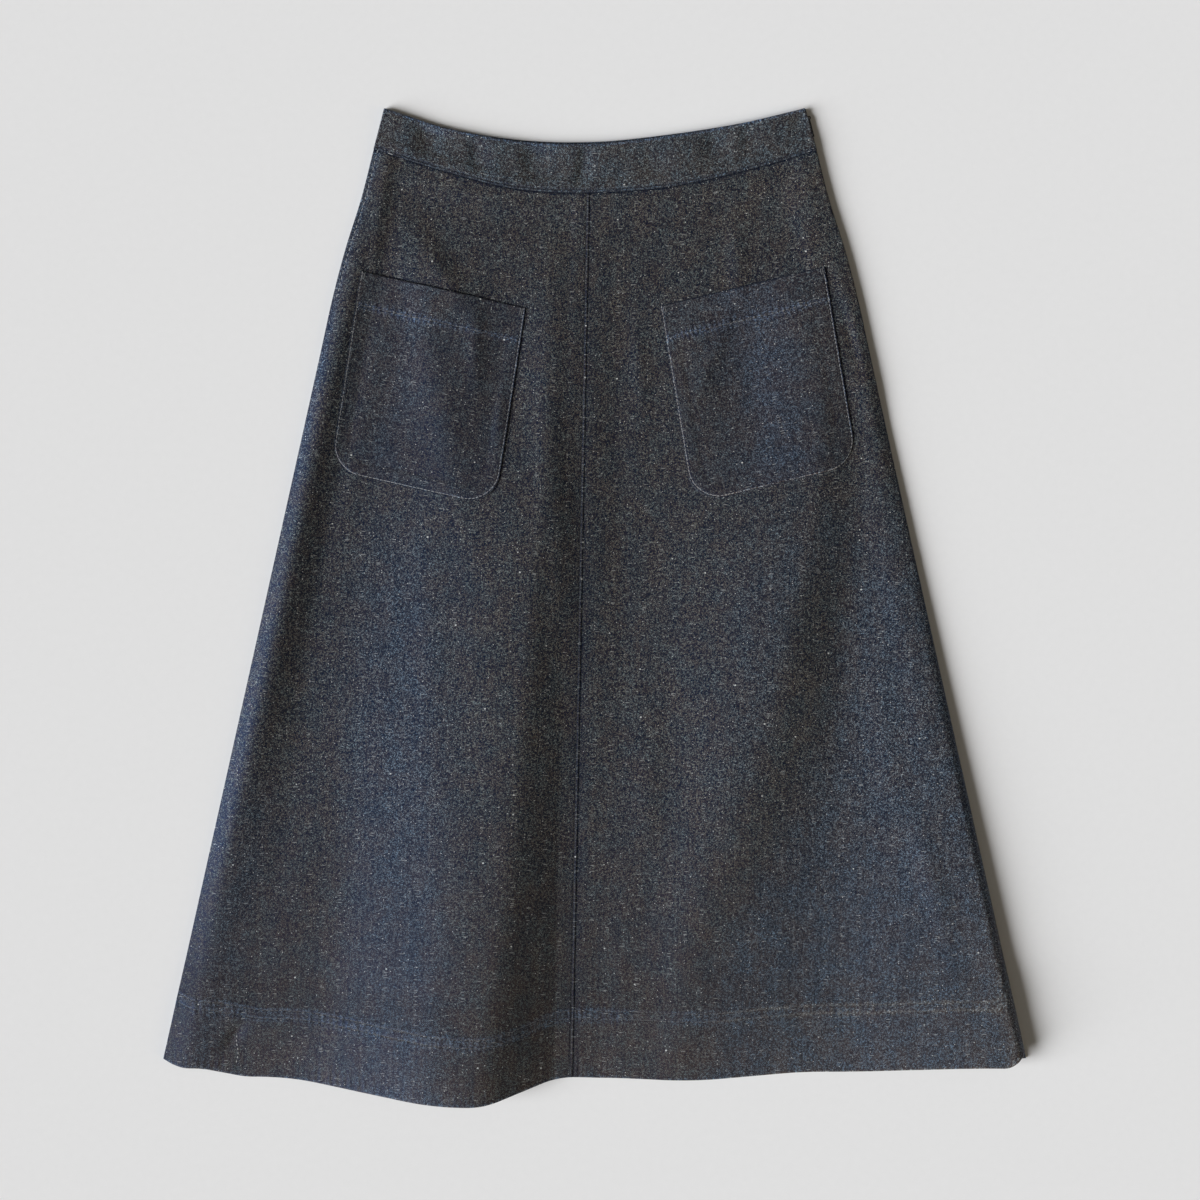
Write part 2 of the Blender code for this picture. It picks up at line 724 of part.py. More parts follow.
def main():
    clear_scene()
    back_panel()
    front_panel(LEFT)
    front_panel(RIGHT)
    waistband("waistband_back", 0.0, DOUBLE, True, BACK_PEEK)
    waistband("waistband_front", BAND_INSIDE, BAND_FACE, False, 0.0)
    for pocket in POCKETS:
        pocket_solid(pocket)
    zip_tapes()
    zip_slider()
    zip_pull()


main()
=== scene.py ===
"""A denim midi skirt laid out flat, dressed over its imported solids.

Metres, +Z up.  +X is the viewer's right, +Y points to the waist, and the back
panel lies on Z = 0.  "across" is a distance from the middle of the skirt,
"down" is a distance below the top corners of the waistband, and "share" is a
place between the middle (0) and a side edge (1).  The cloth's own map is in
metres too: U runs across the warp and V along it.
"""

import math
from collections import namedtuple

import bpy
import numpy as np
from bpy.props import FloatProperty, FloatVectorProperty, IntProperty, PointerProperty
from bpy.types import Operator, Panel, PropertyGroup
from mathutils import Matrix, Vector


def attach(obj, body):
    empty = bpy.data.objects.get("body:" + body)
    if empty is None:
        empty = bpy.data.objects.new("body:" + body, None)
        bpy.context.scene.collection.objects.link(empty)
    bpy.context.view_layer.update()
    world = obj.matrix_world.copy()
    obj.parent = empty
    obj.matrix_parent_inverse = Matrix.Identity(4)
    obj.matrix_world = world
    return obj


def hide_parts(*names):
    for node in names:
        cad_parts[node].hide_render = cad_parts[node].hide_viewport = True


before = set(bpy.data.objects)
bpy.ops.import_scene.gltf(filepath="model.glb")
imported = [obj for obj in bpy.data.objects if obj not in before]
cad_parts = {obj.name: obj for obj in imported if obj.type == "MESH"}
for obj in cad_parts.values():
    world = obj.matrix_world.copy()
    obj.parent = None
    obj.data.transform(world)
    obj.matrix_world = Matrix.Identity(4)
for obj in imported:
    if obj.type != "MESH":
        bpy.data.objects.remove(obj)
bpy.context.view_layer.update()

bl_info = {
    "name": "Denim skirt",
    "version": (1, 0, 0),
    "blender": (4, 5, 0),
    "location": "3D View > Sidebar > Skirt",
    "description": "An A-line denim midi skirt, laid out flat, with its weave, seams, stitching and zip",
    "category": "Object",
}

BODY = "skirt"

# ---------------------------------------------------------------- the cut

LENGTH = 0.845            # top corners of the waistband to the lowest point of the hem
SEAM_GAP = 0.0003         # between pieces that meet at a seam
SEAM_ALLOWANCE = 0.010    # turned cloth inside the side, centre and waist seams
HEM_DEPTH = 0.054         # turned hem
BACK_HEM = 0.8228         # the back's hem in the middle, down
CENTRE_TOP = -0.0043      # centre-front seam at the waistband
CENTRE_SLANT = -0.0192    # how it runs, across for each metre down
CENTRE_START = 0.072      # where it starts, down
ZIP_TOP = 0.0150          # the tapes of the side zip start here, down
ZIP_END = 0.185           # and end here
ZIP_FADE = 0.045          # the room for the zip ends over this length
ZIP_WIDTH = 0.0087        # from the teeth to the tapes' inner edge
ZIP_INSET = 0.0008        # the teeth lie this far inside the side edge
ZIP_LOW = 0.0015          # height of the tapes' lower face
ZIP_HIGH = 0.0033         # and of their upper face
BACK_PEEK = 0.0018        # the back waistband stands this far above the front one

FRONT_FACE = 0.0027       # outer face of the flat front
BAND_FACE = 0.0051        # outer face of the front waistband
BACK_TOP = 0.0012         # the solid back's upper face
HAIR = 0.00005            # room between two cloths that lie on each other

SIDE_ROOM = 0.0009        # the turned side seam lifts the front by this
ZIP_ROOM = 0.0021         # and by this beside the zip
CENTRE_ROOM = 0.0004      # the centre seam's turned cloth lifts the left front
HEM_STEP = 0.15           # the part of the hem's lift that is a sharp step

POCKET_WIDTH = 0.1430
POCKET_HEIGHT = 0.1700
POCKET_CORNER = 0.0270        # radius of the bottom corners
POCKET_HEM = 0.0280           # turned hem at the mouth
POCKET_SIDE_LEAN = 0.0115     # the side edge leans in by this at the bottom
POCKET_CENTRE_LEAN = 0.0118   # the centre edge leans out by this
POCKET_BORDER = 0.0095        # turned cloth round the sides and the bottom
POCKET_LAYER = 0.0006         # the pocket's cloth, pressed flat

# Side edges: half of the width at each distance down.
Edge = namedtuple("Edge", "down half_width")
SIDE_EDGE = (
    Edge(0.000, 0.1785),
    Edge(0.037, 0.1880),
    Edge(0.078, 0.1985),
    Edge(0.121, 0.2120),
    Edge(0.163, 0.2230),
    Edge(0.206, 0.2325),
    Edge(0.248, 0.2418),
    Edge(0.810, 0.3668),
)

# Waistband: its top and its seam, down, at each share (negative on the left).
Band = namedtuple("Band", "share top seam")
WAISTBAND = (
    Band(-1.00, 0.0009, 0.0355),
    Band(-0.66, 0.0189, 0.0545),
    Band(-0.33, 0.0293, 0.0695),
    Band(0.00, 0.0310, 0.0722),
    Band(0.33, 0.0246, 0.0672),
    Band(0.66, 0.0145, 0.0538),
    Band(1.00, 0.0009, 0.0368),
)

# Soft flutes of the front, from each side edge to the centre front: share and
# height of each crest and valley at these distances down, and the hem there.
FOLD_DOWN = (0.078, 0.223, 0.461, 0.673, 0.826)
FLAT = (0, 0, 0, 0, 0)
AT_EDGE = (1, 1, 1, 1, 1)
CENTRE_HEIGHT = (0, 0.0020, 0.0020, 0.0016, 0.0008)
Fold = namedtuple("Fold", "name share height hem")
LEFT_FOLDS = (
    Fold("edge", AT_EDGE, FLAT, 0.8075),
    Fold("side_crest", (0.930, 0.941, 0.941, 0.940, 0.930), (0.0010, 0.0042, 0.0064, 0.0048, 0.0040), 0.8148),
    Fold("valley", (0.835, 0.824, 0.814, 0.760, 0.780), FLAT, 0.8224),
    Fold("crest", (0.227, 0.190, 0.215, 0.245, 0.285), (0, 0.0060, 0.0110, 0.0155, 0.0200), 0.8450),
    Fold("centre", None, CENTRE_HEIGHT, 0.8230),
)
RIGHT_FOLDS = (
    Fold("edge", AT_EDGE, FLAT, 0.8010),
    Fold("side_crest", (0.930, 0.965, 0.955, 0.945, 0.940), (0.0004, 0.0006, 0.0034, 0.0062, 0.0075), 0.8140),
    Fold("valley", (0.870, 0.925, 0.755, 0.594, 0.520), FLAT, 0.8186),
    Fold("crest", (0.780, 0.800, 0.545, 0.304, 0.200), (0, 0.0028, 0.0080, 0.0050, 0.0022), 0.8255),
    Fold("foot", (0.220, 0.100, 0.110, 0.080, 0.020), FLAT, 0.8236),
    Fold("centre", None, CENTRE_HEIGHT, 0.8230),
)
Half = namedtuple("Half", "name side folds")
LEFT = Half("left", -1, LEFT_FOLDS)
RIGHT = Half("right", 1, RIGHT_FOLDS)

# Patch pockets: the top corner nearer the side seam, and how far the mouth
# tips down towards the centre, in degrees.
Pocket = namedtuple("Pocket", "name half across down tilt")
POCKETS = (
    Pocket("left", LEFT, 0.1984, 0.1394, 12.7),
    Pocket("right", RIGHT, 0.1944, 0.1356, 13.4),
)

# ---------------------------------------------------------------- sewing

CENTRE_STITCH = 0.0027    # edge stitch beside the centre seam
CENTRE_STITCH_END = 0.8215      # where it ends, down
BAND_STITCH = 0.0018      # edge stitch above the waistband's lower fold
POCKET_STITCH = 0.0011    # edge stitch round the pockets
TACK_INSET = 0.0030       # the corner tacks' place inside a pocket's edges
HEM_ROWS = (0.0565, 0.0497)     # both rows of the front's hem, above its fold
BACK_ROWS = (0.0540, 0.0472)    # both rows of the back's hem
SIDE_STITCH = 0.0036      # topstitch beside the left side seam
SIDE_STITCH_START = 0.0375      # where it starts, down
SIDE_STITCH_END = 0.160         # and where it ends
TUCK_ACROSS = 0.3030      # the small tuck in the left hem
TUCK_DOWN = (0.788, 0.809)

# A row of stitches pulls the cloth into a groove: half its width, and its depth.
GROOVE_WIDTH = 0.0007
HEM_GROOVE = 0.00022
CENTRE_GROOVE = 0.00030
SIDE_GROOVE = 0.00025
BACK_GROOVE = 0.00035
BAND_GROOVE = 0.00045
POCKET_GROOVE = 0.00022
POCKET_HEM_GROOVE = 0.00018

# Distance from one pucker to the next along a row of stitches.
HEM_PUCKER = 0.0056
HEM_FINE_PUCKER = 0.0037
BAND_PUCKER = 0.0052
POCKET_PUCKER = 0.0047

# ---------------------------------------------------------------- soft creases

# Dents and ridges laid in: where each one's middle is (X and down), how
# its length turns from the warp (degrees, towards +X at the top), half its
# length and half its width, and its height (negative for a dent).  Its right
# side is wider than its left by the factor trail.
Crease = namedtuple("Crease", "x down turn length width height trail", defaults=(1.0,))
FRONT_CREASES = (
    Crease(-0.184, 0.108, 7, 0.055, 0.0065, 0.0012),
    Crease(-0.130, 0.139, -33, 0.036, 0.009, 0.0013),
    Crease(-0.142, 0.139, -33, 0.045, 0.021, 0.0016),
    Crease(-0.101, 0.202, 0, 0.036, 0.007, 0.0012),
    Crease(-0.110, 0.205, 0, 0.045, 0.018, 0.0014),
    Crease(-0.081, 0.265, 3, 0.030, 0.005, 0.0007),
    Crease(-0.0660, 0.2350, 3, 0.074, 0.032, -0.0041),
    Crease(-0.2010, 0.2800, 11, 0.090, 0.012, 0.0009),
    Crease(-0.1310, 0.250, -9, 0.100, 0.019, 0.0024),
    Crease(-0.140, 0.460, -2, 0.150, 0.016, 0.0007),
    Crease(0.038, 0.220, -3, 0.040, 0.007, 0.0007),
    Crease(0.121, 0.130, -4, 0.030, 0.008, 0.0010),
    Crease(0.181, 0.112, -17, 0.045, 0.011, 0.0012),
    Crease(0.101, 0.210, 23, 0.040, 0.007, 0.0009),
    Crease(0.091, 0.206, 23, 0.045, 0.017, 0.0007),
    Crease(0.132, 0.2270, 6, 0.075, 0.036, -0.0032),
    Crease(0.222, 0.300, 2, 0.110, 0.030, 0.0020),
    Crease(0.219, 0.202, -16, 0.035, 0.005, -0.0010),
    Crease(0.246, 0.540, -10, 0.060, 0.012, 0.0005),
    Crease(-0.2680, 0.720, 14, 0.140, 0.036, 0.0026),
    Crease(0.325, 0.680, -12, 0.260, 0.080, 0.0032, 1.5),
    Crease(0.0255, 0.740, 4, 0.130, 0.020, 0.0011),
    Crease(-0.3060, 0.788, 40, 0.013, 0.0055, -0.0016),
    Crease(-0.0300, 0.370, -4, 0.100, 0.014, 0.0019),
    Crease(0.0335, 0.560, 3, 0.120, 0.022, 0.0012),
    Crease(0.285, 0.655, -14, 0.050, 0.010, 0.0009),
    Crease(0.047, 0.580, 4, 0.050, 0.013, 0.0009),
)
# Where painted shade lies on the lee of the right front's flute: its X at these distances down.
LEE_DOWN = (0.325, 0.428, 0.526, 0.624, 0.689, 0.760)
LEE_X = (0.232, 0.186, 0.171, 0.135, 0.093, 0.050)
BAND_CREASES = (
    Crease(-0.1430, 0.023, -6, 0.018, 0.0090, -0.0024, 2.2),
    Crease(-0.128, 0.033, 50, 0.007, 0.0020, 0.0005),
    Crease(-0.1010, 0.042, -4, 0.016, 0.0060, -0.0016, 2.2),
    Crease(-0.086, 0.045, 0, 0.016, 0.0080, 0.0006),
    Crease(-0.0530, 0.044, 0, 0.018, 0.0085, -0.0024, 2.2),
    Crease(-0.0110, 0.050, 10, 0.020, 0.0042, -0.0017, 2.2),
    Crease(0.047, 0.046, -8, 0.015, 0.0070, -0.0008, 2.0),
    Crease(0.070, 0.044, 0, 0.016, 0.0090, 0.0006),
    Crease(0.1000, 0.033, 6, 0.018, 0.0085, -0.0023, 2.2),
    Crease(0.129, 0.025, 0, 0.015, 0.0060, -0.0013, 2.0),
    Crease(0.1740, 0.010, 14, 0.013, 0.0070, -0.0012),
)

# ---------------------------------------------------------------- settings


class SkirtCloth(PropertyGroup):
    layer: FloatProperty(
        name="Layer", description="Thickness of one layer of denim",
        default=0.00085, min=0.0003, max=0.002, unit="LENGTH")
    waist_lift: FloatProperty(
        name="Waist lift", description="How far the turned waist seam lifts the front",
        default=0.0011, min=0.0, max=0.003, unit="LENGTH")
    hem_lift: FloatProperty(
        name="Hem lift", description="How far both turned hems lift the front",
        default=0.0017, min=0.0, max=0.003, unit="LENGTH")
    unevenness: FloatProperty(
        name="Unevenness", description="How far the cloth strays from a smooth lie",
        default=0.0007, min=0.0, max=0.003, unit="LENGTH")
    pucker: FloatProperty(
        name="Pucker", description="How far the stitching puckers the cloth",
        default=0.00036, min=0.0, max=0.001, unit="LENGTH")
    seed: IntProperty(
        name="Seed", description="Start of the uneven lie and of the stitches' spread",
        default=7, min=0)


class SkirtDenim(PropertyGroup):
    warp: FloatVectorProperty(
        name="Warp", description="Indigo warp yarn",
        default=(0.0352, 0.0246, 0.0114), size=3, min=0.0, max=1.0, subtype="COLOR")
    weft: FloatVectorProperty(
        name="Weft", description="Undyed weft yarn",
        default=(0.0608, 0.0444, 0.0231), size=3, min=0.0, max=1.0, subtype="COLOR")
    slub: FloatVectorProperty(
        name="Slub", description="Pale slubs and neps",
        default=(0.52, 0.54, 0.54), size=3, min=0.0, max=1.0, subtype="COLOR")
    pitch: FloatProperty(
        name="Yarn pitch", description="Distance between two warp yarns",
        default=0.00040, min=0.0002, max=0.002, unit="LENGTH")
    roughness: FloatProperty(
        name="Roughness", description="Roughness of the cloth",
        default=0.60, min=0.0, max=1.0, subtype="FACTOR")


class SkirtSewing(PropertyGroup):
    stitch: FloatProperty(
        name="Stitch", description="Length of one stitch",
        default=0.0024, min=0.001, max=0.006, unit="LENGTH")
    gap: FloatProperty(
        name="Gap", description="Length between two stitches",
        default=0.0008, min=0.0002, max=0.004, unit="LENGTH")
    thread: FloatProperty(
        name="Thread", description="Half of the thread's thickness",
        default=0.00028, min=0.0001, max=0.0006, unit="LENGTH")
    dark: FloatVectorProperty(
        name="Dark thread", description="Thread of the seams",
        default=(0.011, 0.011, 0.013), size=3, min=0.0, max=1.0, subtype="COLOR")
    pale: FloatVectorProperty(
        name="Pale thread", description="Thread of the pockets' edges and the left side",
        default=(0.34, 0.35, 0.36), size=3, min=0.0, max=1.0, subtype="COLOR")
    dull: FloatVectorProperty(
        name="Dull thread", description="Thread of the hems",
        default=(0.100, 0.105, 0.115), size=3, min=0.0, max=1.0, subtype="COLOR")


class SkirtZip(PropertyGroup):
    tape: FloatVectorProperty(
        name="Tape", description="Woven tape",
        default=(0.010, 0.011, 0.017), size=3, min=0.0, max=1.0, subtype="COLOR")
    metal: FloatVectorProperty(
        name="Metal", description="Enamelled slider and pull",
        default=(0.060, 0.062, 0.070), size=3, min=0.0, max=1.0, subtype="COLOR")
    tooth_pitch: FloatProperty(
        name="Tooth pitch", description="Distance between two turns of the zip's coil",
        default=0.00115, min=0.0006, max=0.003, unit="LENGTH")


class SkirtStage(PropertyGroup):
    floor: FloatVectorProperty(
        name="Floor", description="Pale floor",
        default=(0.804, 0.813, 0.830), size=3, min=0.0, max=1.0, subtype="COLOR")
    view_distance: FloatProperty(
        name="View distance", description="Height of the camera above the skirt",
        default=2.0, min=0.5, max=10.0, unit="LENGTH")
    view_width: FloatProperty(
        name="View width", description="Width of floor that the camera sees",
        default=1.020, min=0.3, max=5.0, unit="LENGTH")
    key_strength: FloatProperty(
        name="Key light", description="Light from the left", default=6.45, min=0.0)
    key_height: FloatProperty(
        name="Key height", description="Angle of the key light above the floor",
        default=math.radians(23), min=0.0, max=math.pi / 2, subtype="ANGLE")
    key_turn: FloatProperty(
        name="Key turn", description="How far the key light comes from the hem's side",
        default=math.radians(20), min=-math.pi, max=math.pi, subtype="ANGLE")
    softness: FloatProperty(
        name="Softness", description="How wide the key light looks",
        default=math.radians(40), min=0.0, max=math.pi, subtype="ANGLE")
    room: FloatProperty(
        name="Room light", description="Even light of the room", default=0.065, min=0.0)


# ---------------------------------------------------------------- curves


def smooth_curve(places, values, at):
    """Values on a smooth curve through the rows, level past its ends."""
    places = np.asarray(places, dtype=float)
    values = np.asarray(values, dtype=float)
    at = np.clip(at, places[0], places[-1])
    row = np.clip(np.searchsorted(places, at, side="right") - 1, 0, len(places) - 2)
    index = np.arange(len(places))
    before = np.maximum(index - 1, 0)
    after = np.minimum(index + 1, len(places) - 1)
    slopes = (values[after] - values[before]) / (places[after] - places[before])
    width = places[row + 1] - places[row]
    t = (at - places[row]) / width
    rise = values[row + 1] - values[row]
    start = slopes[row] * width
    end = slopes[row + 1] * width
    return (values[row] + start * t + (3 * rise - 2 * start - end) * t ** 2
            + (start + end - 2 * rise) * t ** 3)


def ramp(value, start, end):
    """0 before start and 1 after end, with a soft S between them."""
    t = np.clip((value - start) / (end - start), 0.0, 1.0)
    return t * t * (3 - 2 * t)


def mix(a, b, t):
    return a + (b - a) * t


def bump(value, centre, spread):
    """1 at the centre, fading to 0 over a few spreads."""
    return np.exp(-((value - centre) / spread) ** 2)


def roll_off(distance, radius):
    """0 inside an edge and 1 at it, with the round of a folded cloth."""
    t = np.clip(1 - distance / radius, 0.0, 1.0)
    return 1 - np.sqrt(1 - t * t)


def soft_noise(x, y, width, length, seed):
    """Smooth random values from -1 to 1, over cells of that width and length."""
    size = 64
    lattice = np.random.default_rng(seed).uniform(-1, 1, (size, size))
    column = x / width + size / 2
    row = y / length + size / 2
    left = np.floor(column).astype(int)
    upper = np.floor(row).astype(int)
    s = ramp(column - left, 0, 1)
    t = ramp(row - upper, 0, 1)

    def pick(r, c):
        return lattice[r % size, c % size]

    return mix(mix(pick(upper, left), pick(upper, left + 1), s),
               mix(pick(upper + 1, left), pick(upper + 1, left + 1), s), t)


def half_width(down):
    """Distance of the side edges from the middle; straight below the hips."""
    hip, last = SIDE_EDGE[-2:]
    slope = (last.half_width - hip.half_width) / (last.down - hip.down)
    upper = smooth_curve(*zip(*SIDE_EDGE), down)
    return np.where(down >= hip.down, hip.half_width + slope * (down - hip.down), upper)


def band_line(column, share):
    """Top or seam of the waistband, down, at a signed share."""
    lines = [getattr(row, column) for row in WAISTBAND]
    return smooth_curve([row.share for row in WAISTBAND], lines, share)


def seam_down(x, down):
    """The waistband seam above a point, down."""
    return band_line("seam", x / half_width(down))


def centre_x(down):
    """X of the centre-front seam."""
    return CENTRE_TOP + CENTRE_SLANT * (down - CENTRE_START)


# ---------------------------------------------------------------- the front's surface


def fold_across(half, fold, down):
    """Distance of a crest or valley from the middle, on its own side."""
    if fold.share is None:
        return half.side * centre_x(down)
    return smooth_curve(FOLD_DOWN, fold.share, down) * half_width(down)


def between(index, t, turn=0.3):
    """Eased place between two fold lines; the cloth rolls over at the side edge."""
    steep = 1 / (1 - turn)
    near_end = np.minimum(t, 1 - t)
    part = np.where(near_end < turn, steep * near_end ** 2 / (2 * turn), steep * (near_end - turn / 2))
    eased = np.where(t < 0.5, part, 1 - part)
    return np.where(index == 0, np.sin(t * math.pi / 2), eased)


def picked(rows, index):
    """The value of each point's own row in a stack of rows."""
    return np.take_along_axis(rows, index[None], axis=0)[0]


def locate(half, across, down):
    """The fold interval that holds each point, and how far along it the point is."""
    lines = np.stack([fold_across(half, fold, down) for fold in half.folds])
    index = sum((across < line).astype(int) for line in lines[1:-1])
    start = picked(lines, index)
    end = picked(lines, index + 1)
    return index, np.clip((start - across) / (start - end), 0.0, 1.0)


def hem_down(half, index, t):
    """The hem below a point of a fold interval."""
    hems = np.array([fold.hem for fold in half.folds])
    return mix(hems[index], hems[index + 1], between(index, t))


def zip_share(half, down):
    """1 where the side edge holds the zip, 0 elsewhere."""
    if half.side < 0:
        return np.zeros_like(down)
    return 1 - ramp(down, ZIP_END + ZIP_FADE, ZIP_END + 2 * ZIP_FADE)


Reach = namedtuple("Reach", "edge centre hem waist")


def reach_of(half, across, down):
    """How far each point of the front is from each edge of its panel."""
    index, t = locate(half, across, down)
    return Reach(
        edge=half_width(down) - across,
        centre=across - half.side * centre_x(down),
        hem=hem_down(half, index, t) - down,
        waist=down - seam_down(half.side * across, down),
    )


def crease_height(creases, x, down):
    """Sum of the listed creases at each point."""
    height = np.zeros_like(x)
    for crease in creases:
        turn = math.radians(crease.turn)
        along = (x - crease.x) * math.sin(turn) - (down - crease.down) * math.cos(turn)
        beside = (x - crease.x) * math.cos(turn) + (down - crease.down) * math.sin(turn)
        width = np.where(beside > 0, crease.width * crease.trail, crease.width)
        height += crease.height * bump(along, 0, crease.length) * bump(beside, 0, width)
    return height


def uneven_lie(x, down, seed):
    """Slow waves of cloth that was never pressed quite flat, longer along the warp."""
    waves = ((0.080, 0.200, 0.55), (0.036, 0.090, 0.30), (0.017, 0.042, 0.13))
    return sum(share * soft_noise(x, down, width, length, seed + i)
               for i, (width, length, share) in enumerate(waves))


def fold_ease(half, index, t):
    """How far the height has gone from one fold line's to the next, at each place between."""
    eased = between(index, t)
    if half is RIGHT:
        return np.where(index == 0, 1 - (1 - t) ** 12, eased)
    return np.where(index == 1, between(index, t * (1.35 - 0.35 * t)), eased)


def front_lie(half, across, down):
    """Height of the front's outer face, without its seams' fine relief."""
    cloth = bpy.context.scene.skirt_cloth
    index, t = locate(half, across, down)
    heights = np.stack([smooth_curve(FOLD_DOWN, fold.height, down) for fold in half.folds])
    folds = mix(picked(heights, index), picked(heights, index + 1), fold_ease(half, index, t))
    reach = reach_of(half, across, down)
    side_room = mix(SIDE_ROOM, ZIP_ROOM, zip_share(half, down))
    over_side = side_room * (1 - ramp(reach.edge, 0.0105, 0.0420))
    over_waist = cloth.waist_lift * (1 - ramp(reach.waist, SEAM_ALLOWANCE, 0.030))
    lift = (over_side ** 4 + over_waist ** 4) ** 0.25
    slow_step = (1 - HEM_STEP) * (1 - ramp(reach.hem, 0.054, 0.090))
    lift += cloth.hem_lift * (slow_step + HEM_STEP * (1 - ramp(reach.hem, 0.0580, 0.0610)))
    if half is LEFT:
        lift += CENTRE_ROOM * (1 - ramp(reach.centre, 0.0100, 0.0170))
    inside = ramp(reach.edge, 0.004, 0.030)
    x = half.side * across
    uneven = cloth.unevenness * uneven_lie(x, down, cloth.seed) * inside
    creases = crease_height(FRONT_CREASES, x, down) * ramp(reach.edge, 0.0, 0.009)
    return FRONT_FACE + folds + lift + uneven + creases


def puckers(along, spacing, shift):
    """Waves along a row of stitches, from -1 to 1."""
    return np.sin(2 * math.pi * (along / spacing + shift))


def hem_pucker(x, reach, seed):
    """Little waves across the hem's stitching and at its fold, uneven along it."""
    shift = 0.9 * soft_noise(x, reach, 0.030, 0.050, seed + 11)
    waves = 0.7 * puckers(x, HEM_PUCKER, shift) + 0.45 * puckers(x, HEM_FINE_PUCKER, 1.7 * shift)
    strong = 0.55 + 0.45 * soft_noise(x, reach, 0.055, 0.200, seed + 12)
    rows = sum(bump(reach, row, 0.0055) for row in HEM_ROWS)
    fold = 0.55 * bump(reach, 0.004, 0.010)
    return waves * strong * (0.6 * rows + fold)


def front_height(half, across, down):
    """Height of the front's outer face, with the relief of its seams and stitching."""
    cloth = bpy.context.scene.skirt_cloth
    reach = reach_of(half, across, down)
    height = front_lie(half, across, down)
    height += cloth.pucker * hem_pucker(half.side * across, reach.hem, cloth.seed)
    for row in HEM_ROWS:
        height -= HEM_GROOVE * bump(reach.hem, row, GROOVE_WIDTH)
    if half is RIGHT:
        return height - 0.00012 * roll_off(reach.centre, 0.0012)
    height -= 0.0004 * roll_off(reach.centre, 0.0014)
    height -= CENTRE_GROOVE * bump(reach.centre, CENTRE_STITCH, GROOVE_WIDTH)
    stitched = 1 - ramp(down, SIDE_STITCH_END - 0.01, SIDE_STITCH_END)
    return height - SIDE_GROOVE * bump(reach.edge, SIDE_STITCH, GROOVE_WIDTH) * stitched


def place(x, down, z):
    """Points of the skirt in the part's frame."""
    x, down, z = np.broadcast_arrays(x, down, z)
    return np.stack((x, LENGTH / 2 - down, z), axis=-1)


def front_point(half, across, down, height=front_height):
    """Points of the front's outer face."""
    return place(half.side * across, down, height(half, across, down))


def unit(vectors):
    """Vectors brought to length one."""
    return vectors / np.maximum(np.linalg.norm(vectors, axis=-1, keepdims=True), 1e-12)


def front_normal(half, across, down, nudge=0.002):
    """Outward normals of the front, from the slopes of its lie."""
    sideways = (front_point(half, across + nudge, down, front_lie)
                - front_point(half, across - nudge, down, front_lie))
    downwards = (front_point(half, across, down + nudge, front_lie)
                 - front_point(half, across, down - nudge, front_lie))
    return unit(np.cross(downwards, sideways)) * half.side


# ---------------------------------------------------------------- cloth shells


def grid_normals(points):
    """Upward normals of a grid of points."""
    down_rows = np.gradient(points, axis=0)
    along_columns = np.gradient(points, axis=1)
    normals = unit(np.cross(down_rows, along_columns))
    return np.where(normals[..., 2:] < 0, -normals, normals)


def every(count, step):
    """Each step-th index of a count, with the last one."""
    return sorted(set(range(0, count, step)) | {count - 1})


def ring_of(rows, columns):
    """Grid places round the border, in order, from the lists of its rows and columns."""
    ring = [(rows[0], c) for c in columns]
    ring += [(r, columns[-1]) for r in rows[1:]]
    ring += [(rows[-1], c) for c in reversed(columns[:-1])]
    ring += [(r, columns[0]) for r in reversed(rows[1:-1])]
    return ring


def way_out(points, ring):
    """Unit vectors that point out of a grid at its border places."""
    last_row = points.shape[0] - 1
    last_column = points.shape[1] - 1
    ways = []
    for r, c in ring:
        way = np.zeros(3)
        if r in (0, last_row):
            way += unit(points[r, c] - points[1 if r == 0 else last_row - 1, c])
        if c in (0, last_column):
            way += unit(points[r, c] - points[r, 1 if c == 0 else last_column - 1])
        ways.append(way)
    return unit(np.array(ways))


def quads(index, turned=False):
    """Faces between the points of a grid."""
    corners = [index[:-1, :-1], index[1:, :-1], index[1:, 1:], index[:-1, 1:]]
    if turned:
        corners.reverse()
    return np.stack([corner.ravel() for corner in corners], axis=1).tolist()


def border_faces(last, ring, inner_index, few_rows, few_columns):
    """Faces from the rim's last loop to the fewer points of the inner face's border."""
    spot = {place: i for i, place in enumerate(ring)}
    row_of = {r: i for i, r in enumerate(few_rows)}
    column_of = {c: i for i, c in enumerate(few_columns)}
    few_ring = ring_of(few_rows, few_columns)
    faces = []
    for here, after in zip(few_ring, few_ring[1:] + few_ring[:1]):
        start = spot[here]
        stop = spot[after]
        if stop <= start:
            stop += len(ring)
        upper_run = [int(last[i % len(ring)]) for i in range(start, stop + 1)]
        lower_run = [int(inner_index[row_of[r], column_of[c]]) for r, c in (after, here)]
        faces.append(upper_run + lower_run)
    return faces


RIM_LOOPS = 4             # loops of points round a shell's rim


